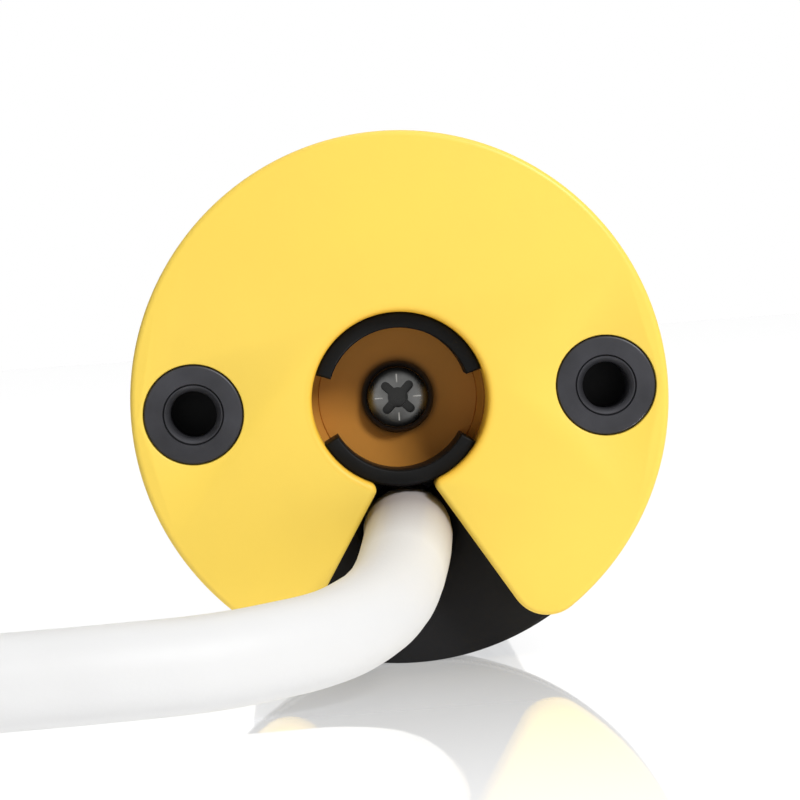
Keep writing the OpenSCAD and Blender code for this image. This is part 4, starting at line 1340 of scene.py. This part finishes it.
def seen_ray(tree):
    """Value that is 1 for rays that the camera sees, straight, mirrored or through glass."""
    rays = tree.nodes.new("ShaderNodeLightPath").outputs
    seen = maths(tree, "MAXIMUM", rays["Is Camera Ray"], rays["Is Glossy Ray"])
    return maths(tree, "MAXIMUM", seen, rays["Is Transmission Ray"])


def glowing_white(tree, grey, strength):
    """White that takes shadows as a grey does and glows by itself."""
    matt = tree.nodes.new("ShaderNodeBsdfDiffuse")
    matt.inputs["Color"].default_value = (grey, grey, grey, 1)
    glow = tree.nodes.new("ShaderNodeEmission")
    glow.inputs["Strength"].default_value = strength
    both = tree.nodes.new("ShaderNodeAddShader")
    tree.links.new(matt.outputs[0], both.inputs[0])
    tree.links.new(glow.outputs[0], both.inputs[1])
    return both.outputs[0]


def mix_shaders(tree, share, first, second):
    """Mixes two shaders by a share of the second."""
    mix = tree.nodes.new("ShaderNodeMixShader")
    for source, socket in zip((share, first, second), mix.inputs):
        tree.links.new(source, socket)
    return mix.outputs[0]


def table_material():
    """White glossy table: mirror-like beside the motor, plain white further off."""
    material = bpy.data.materials.new("glossy table")
    material.use_nodes = True
    tree = material.node_tree
    tree.nodes.remove(tree.nodes["Principled BSDF"])
    mirror = tree.nodes.new("ShaderNodeBsdfGlossy")
    mirror.inputs["Roughness"].default_value = 0.03
    mirror.inputs["Color"].default_value = (1, 1, 1, 1)
    fade = spread(tree, axes(tree)["Y"], 0.22, 0.6, -0.095, 0.0).outputs[0]
    polish = mix_shaders(tree, fade, glowing_white(tree, 0.3, 0.9), mirror.outputs[0])
    top = mix_shaders(tree, seen_ray(tree), glowing_white(tree, 0.7, 0.48), polish)
    tree.links.new(top, tree.nodes["Material Output"].inputs["Surface"])
    return material


def lamp(name, place, aim, size, watts):
    """Square area lamp aimed at a point."""
    fresh()
    bpy.ops.object.light_add(type="AREA", location=place)
    light = bpy.context.object
    light.name = name
    light.rotation_euler = (Vector(aim) - Vector(place)).to_track_quat("-Z", "Y").to_euler()
    light.data.size = size
    light.data.energy = watts


class MOTOR_OT_light_stage(bpy.types.Operator):
    """Lays the glossy table and sets the lamps and the white surround"""
    bl_idname = "motor.light_stage"
    bl_label = "Light stage"

    def execute(self, context):
        stage = context.scene.motor_stage
        fresh()
        bpy.ops.mesh.primitive_plane_add(size=3, location=(0, 0, FLOOR_Z))
        table = context.object
        table.name = "table"
        bpy.ops.object.transform_apply(location=True, rotation=True, scale=True)
        table.data.materials.append(table_material())
        head = (0, 0, 0)
        lamp("key lamp", (0.82, -1.08, 0.96), head, 0.4, stage.key)
        lamp("fill lamp", (-0.6, -0.6, 0.25), head, 0.6, stage.fill)
        lamp("top lamp", (0.0, 0.15, 0.9), (0, 0.15, 0), 0.9, stage.top)
        world = bpy.data.worlds.new("white surround")
        context.scene.world = world
        world.use_nodes = True
        tree = world.node_tree
        back = tree.nodes["Background"]
        level = tree.nodes.new("ShaderNodeMapRange")
        level.inputs["To Min"].default_value = stage.sky
        level.inputs["To Max"].default_value = 1.0
        tree.links.new(seen_ray(tree), level.inputs["Value"])
        back.inputs["Color"].default_value = (1, 1, 1, 1)
        tree.links.new(level.outputs[0], back.inputs["Strength"])
        context.scene.view_settings.view_transform = "Standard"
        return {"FINISHED"}


# Panel and registration


OPERATORS = (
    MOTOR_OT_set_camera,
    MOTOR_OT_tie_hank,
    MOTOR_OT_lay_cable,
    MOTOR_OT_mould_plate,
    MOTOR_OT_mould_flange,
    MOTOR_OT_turn_inserts,
    MOTOR_OT_turn_screw,
    MOTOR_OT_mould_buttons,
    MOTOR_OT_mould_crown,
    MOTOR_OT_mould_wheel,
    MOTOR_OT_turn_tube_screws,
    MOTOR_OT_finish_solids,
    MOTOR_OT_light_stage,
)


class MOTOR_PT_panel(bpy.types.Panel):
    """Lists the steps that make the motor"""
    bl_idname = "MOTOR_PT_panel"
    bl_label = "Tubular motor"
    bl_space_type = "VIEW_3D"
    bl_region_type = "UI"
    bl_category = "Motor"

    def draw(self, context):
        for operator in OPERATORS:
            self.layout.operator(operator.bl_idname)
        scene = context.scene
        for settings in (scene.motor_head, scene.motor_cable, scene.motor_stage):
            box = self.layout.box()
            for name in settings.bl_rna.properties.keys():
                if name not in ("rna_type", "name"):
                    box.prop(settings, name)


CLASSES = (HeadSettings, CableSettings, StageSettings, *OPERATORS, MOTOR_PT_panel)


def register():
    """Registers the classes and hangs their settings on the scene."""
    for cls in CLASSES:
        bpy.utils.register_class(cls)
    bpy.types.Scene.motor_head = PointerProperty(type=HeadSettings)
    bpy.types.Scene.motor_cable = PointerProperty(type=CableSettings)
    bpy.types.Scene.motor_stage = PointerProperty(type=StageSettings)


def unregister():
    """Removes the settings and the classes."""
    del bpy.types.Scene.motor_head
    del bpy.types.Scene.motor_cable
    del bpy.types.Scene.motor_stage
    for cls in reversed(CLASSES):
        bpy.utils.unregister_class(cls)


def main():
    register()
    bpy.ops.motor.set_camera()
    bpy.ops.motor.tie_hank()
    bpy.ops.motor.lay_cable()
    bpy.ops.motor.mould_plate()
    bpy.ops.motor.mould_flange()
    bpy.ops.motor.turn_inserts()
    bpy.ops.motor.turn_screw()
    bpy.ops.motor.mould_buttons()
    bpy.ops.motor.mould_crown()
    bpy.ops.motor.mould_wheel()
    bpy.ops.motor.turn_tube_screws()
    bpy.ops.motor.finish_solids()
    bpy.ops.motor.light_stage()


if __name__ == "__main__":
    main()
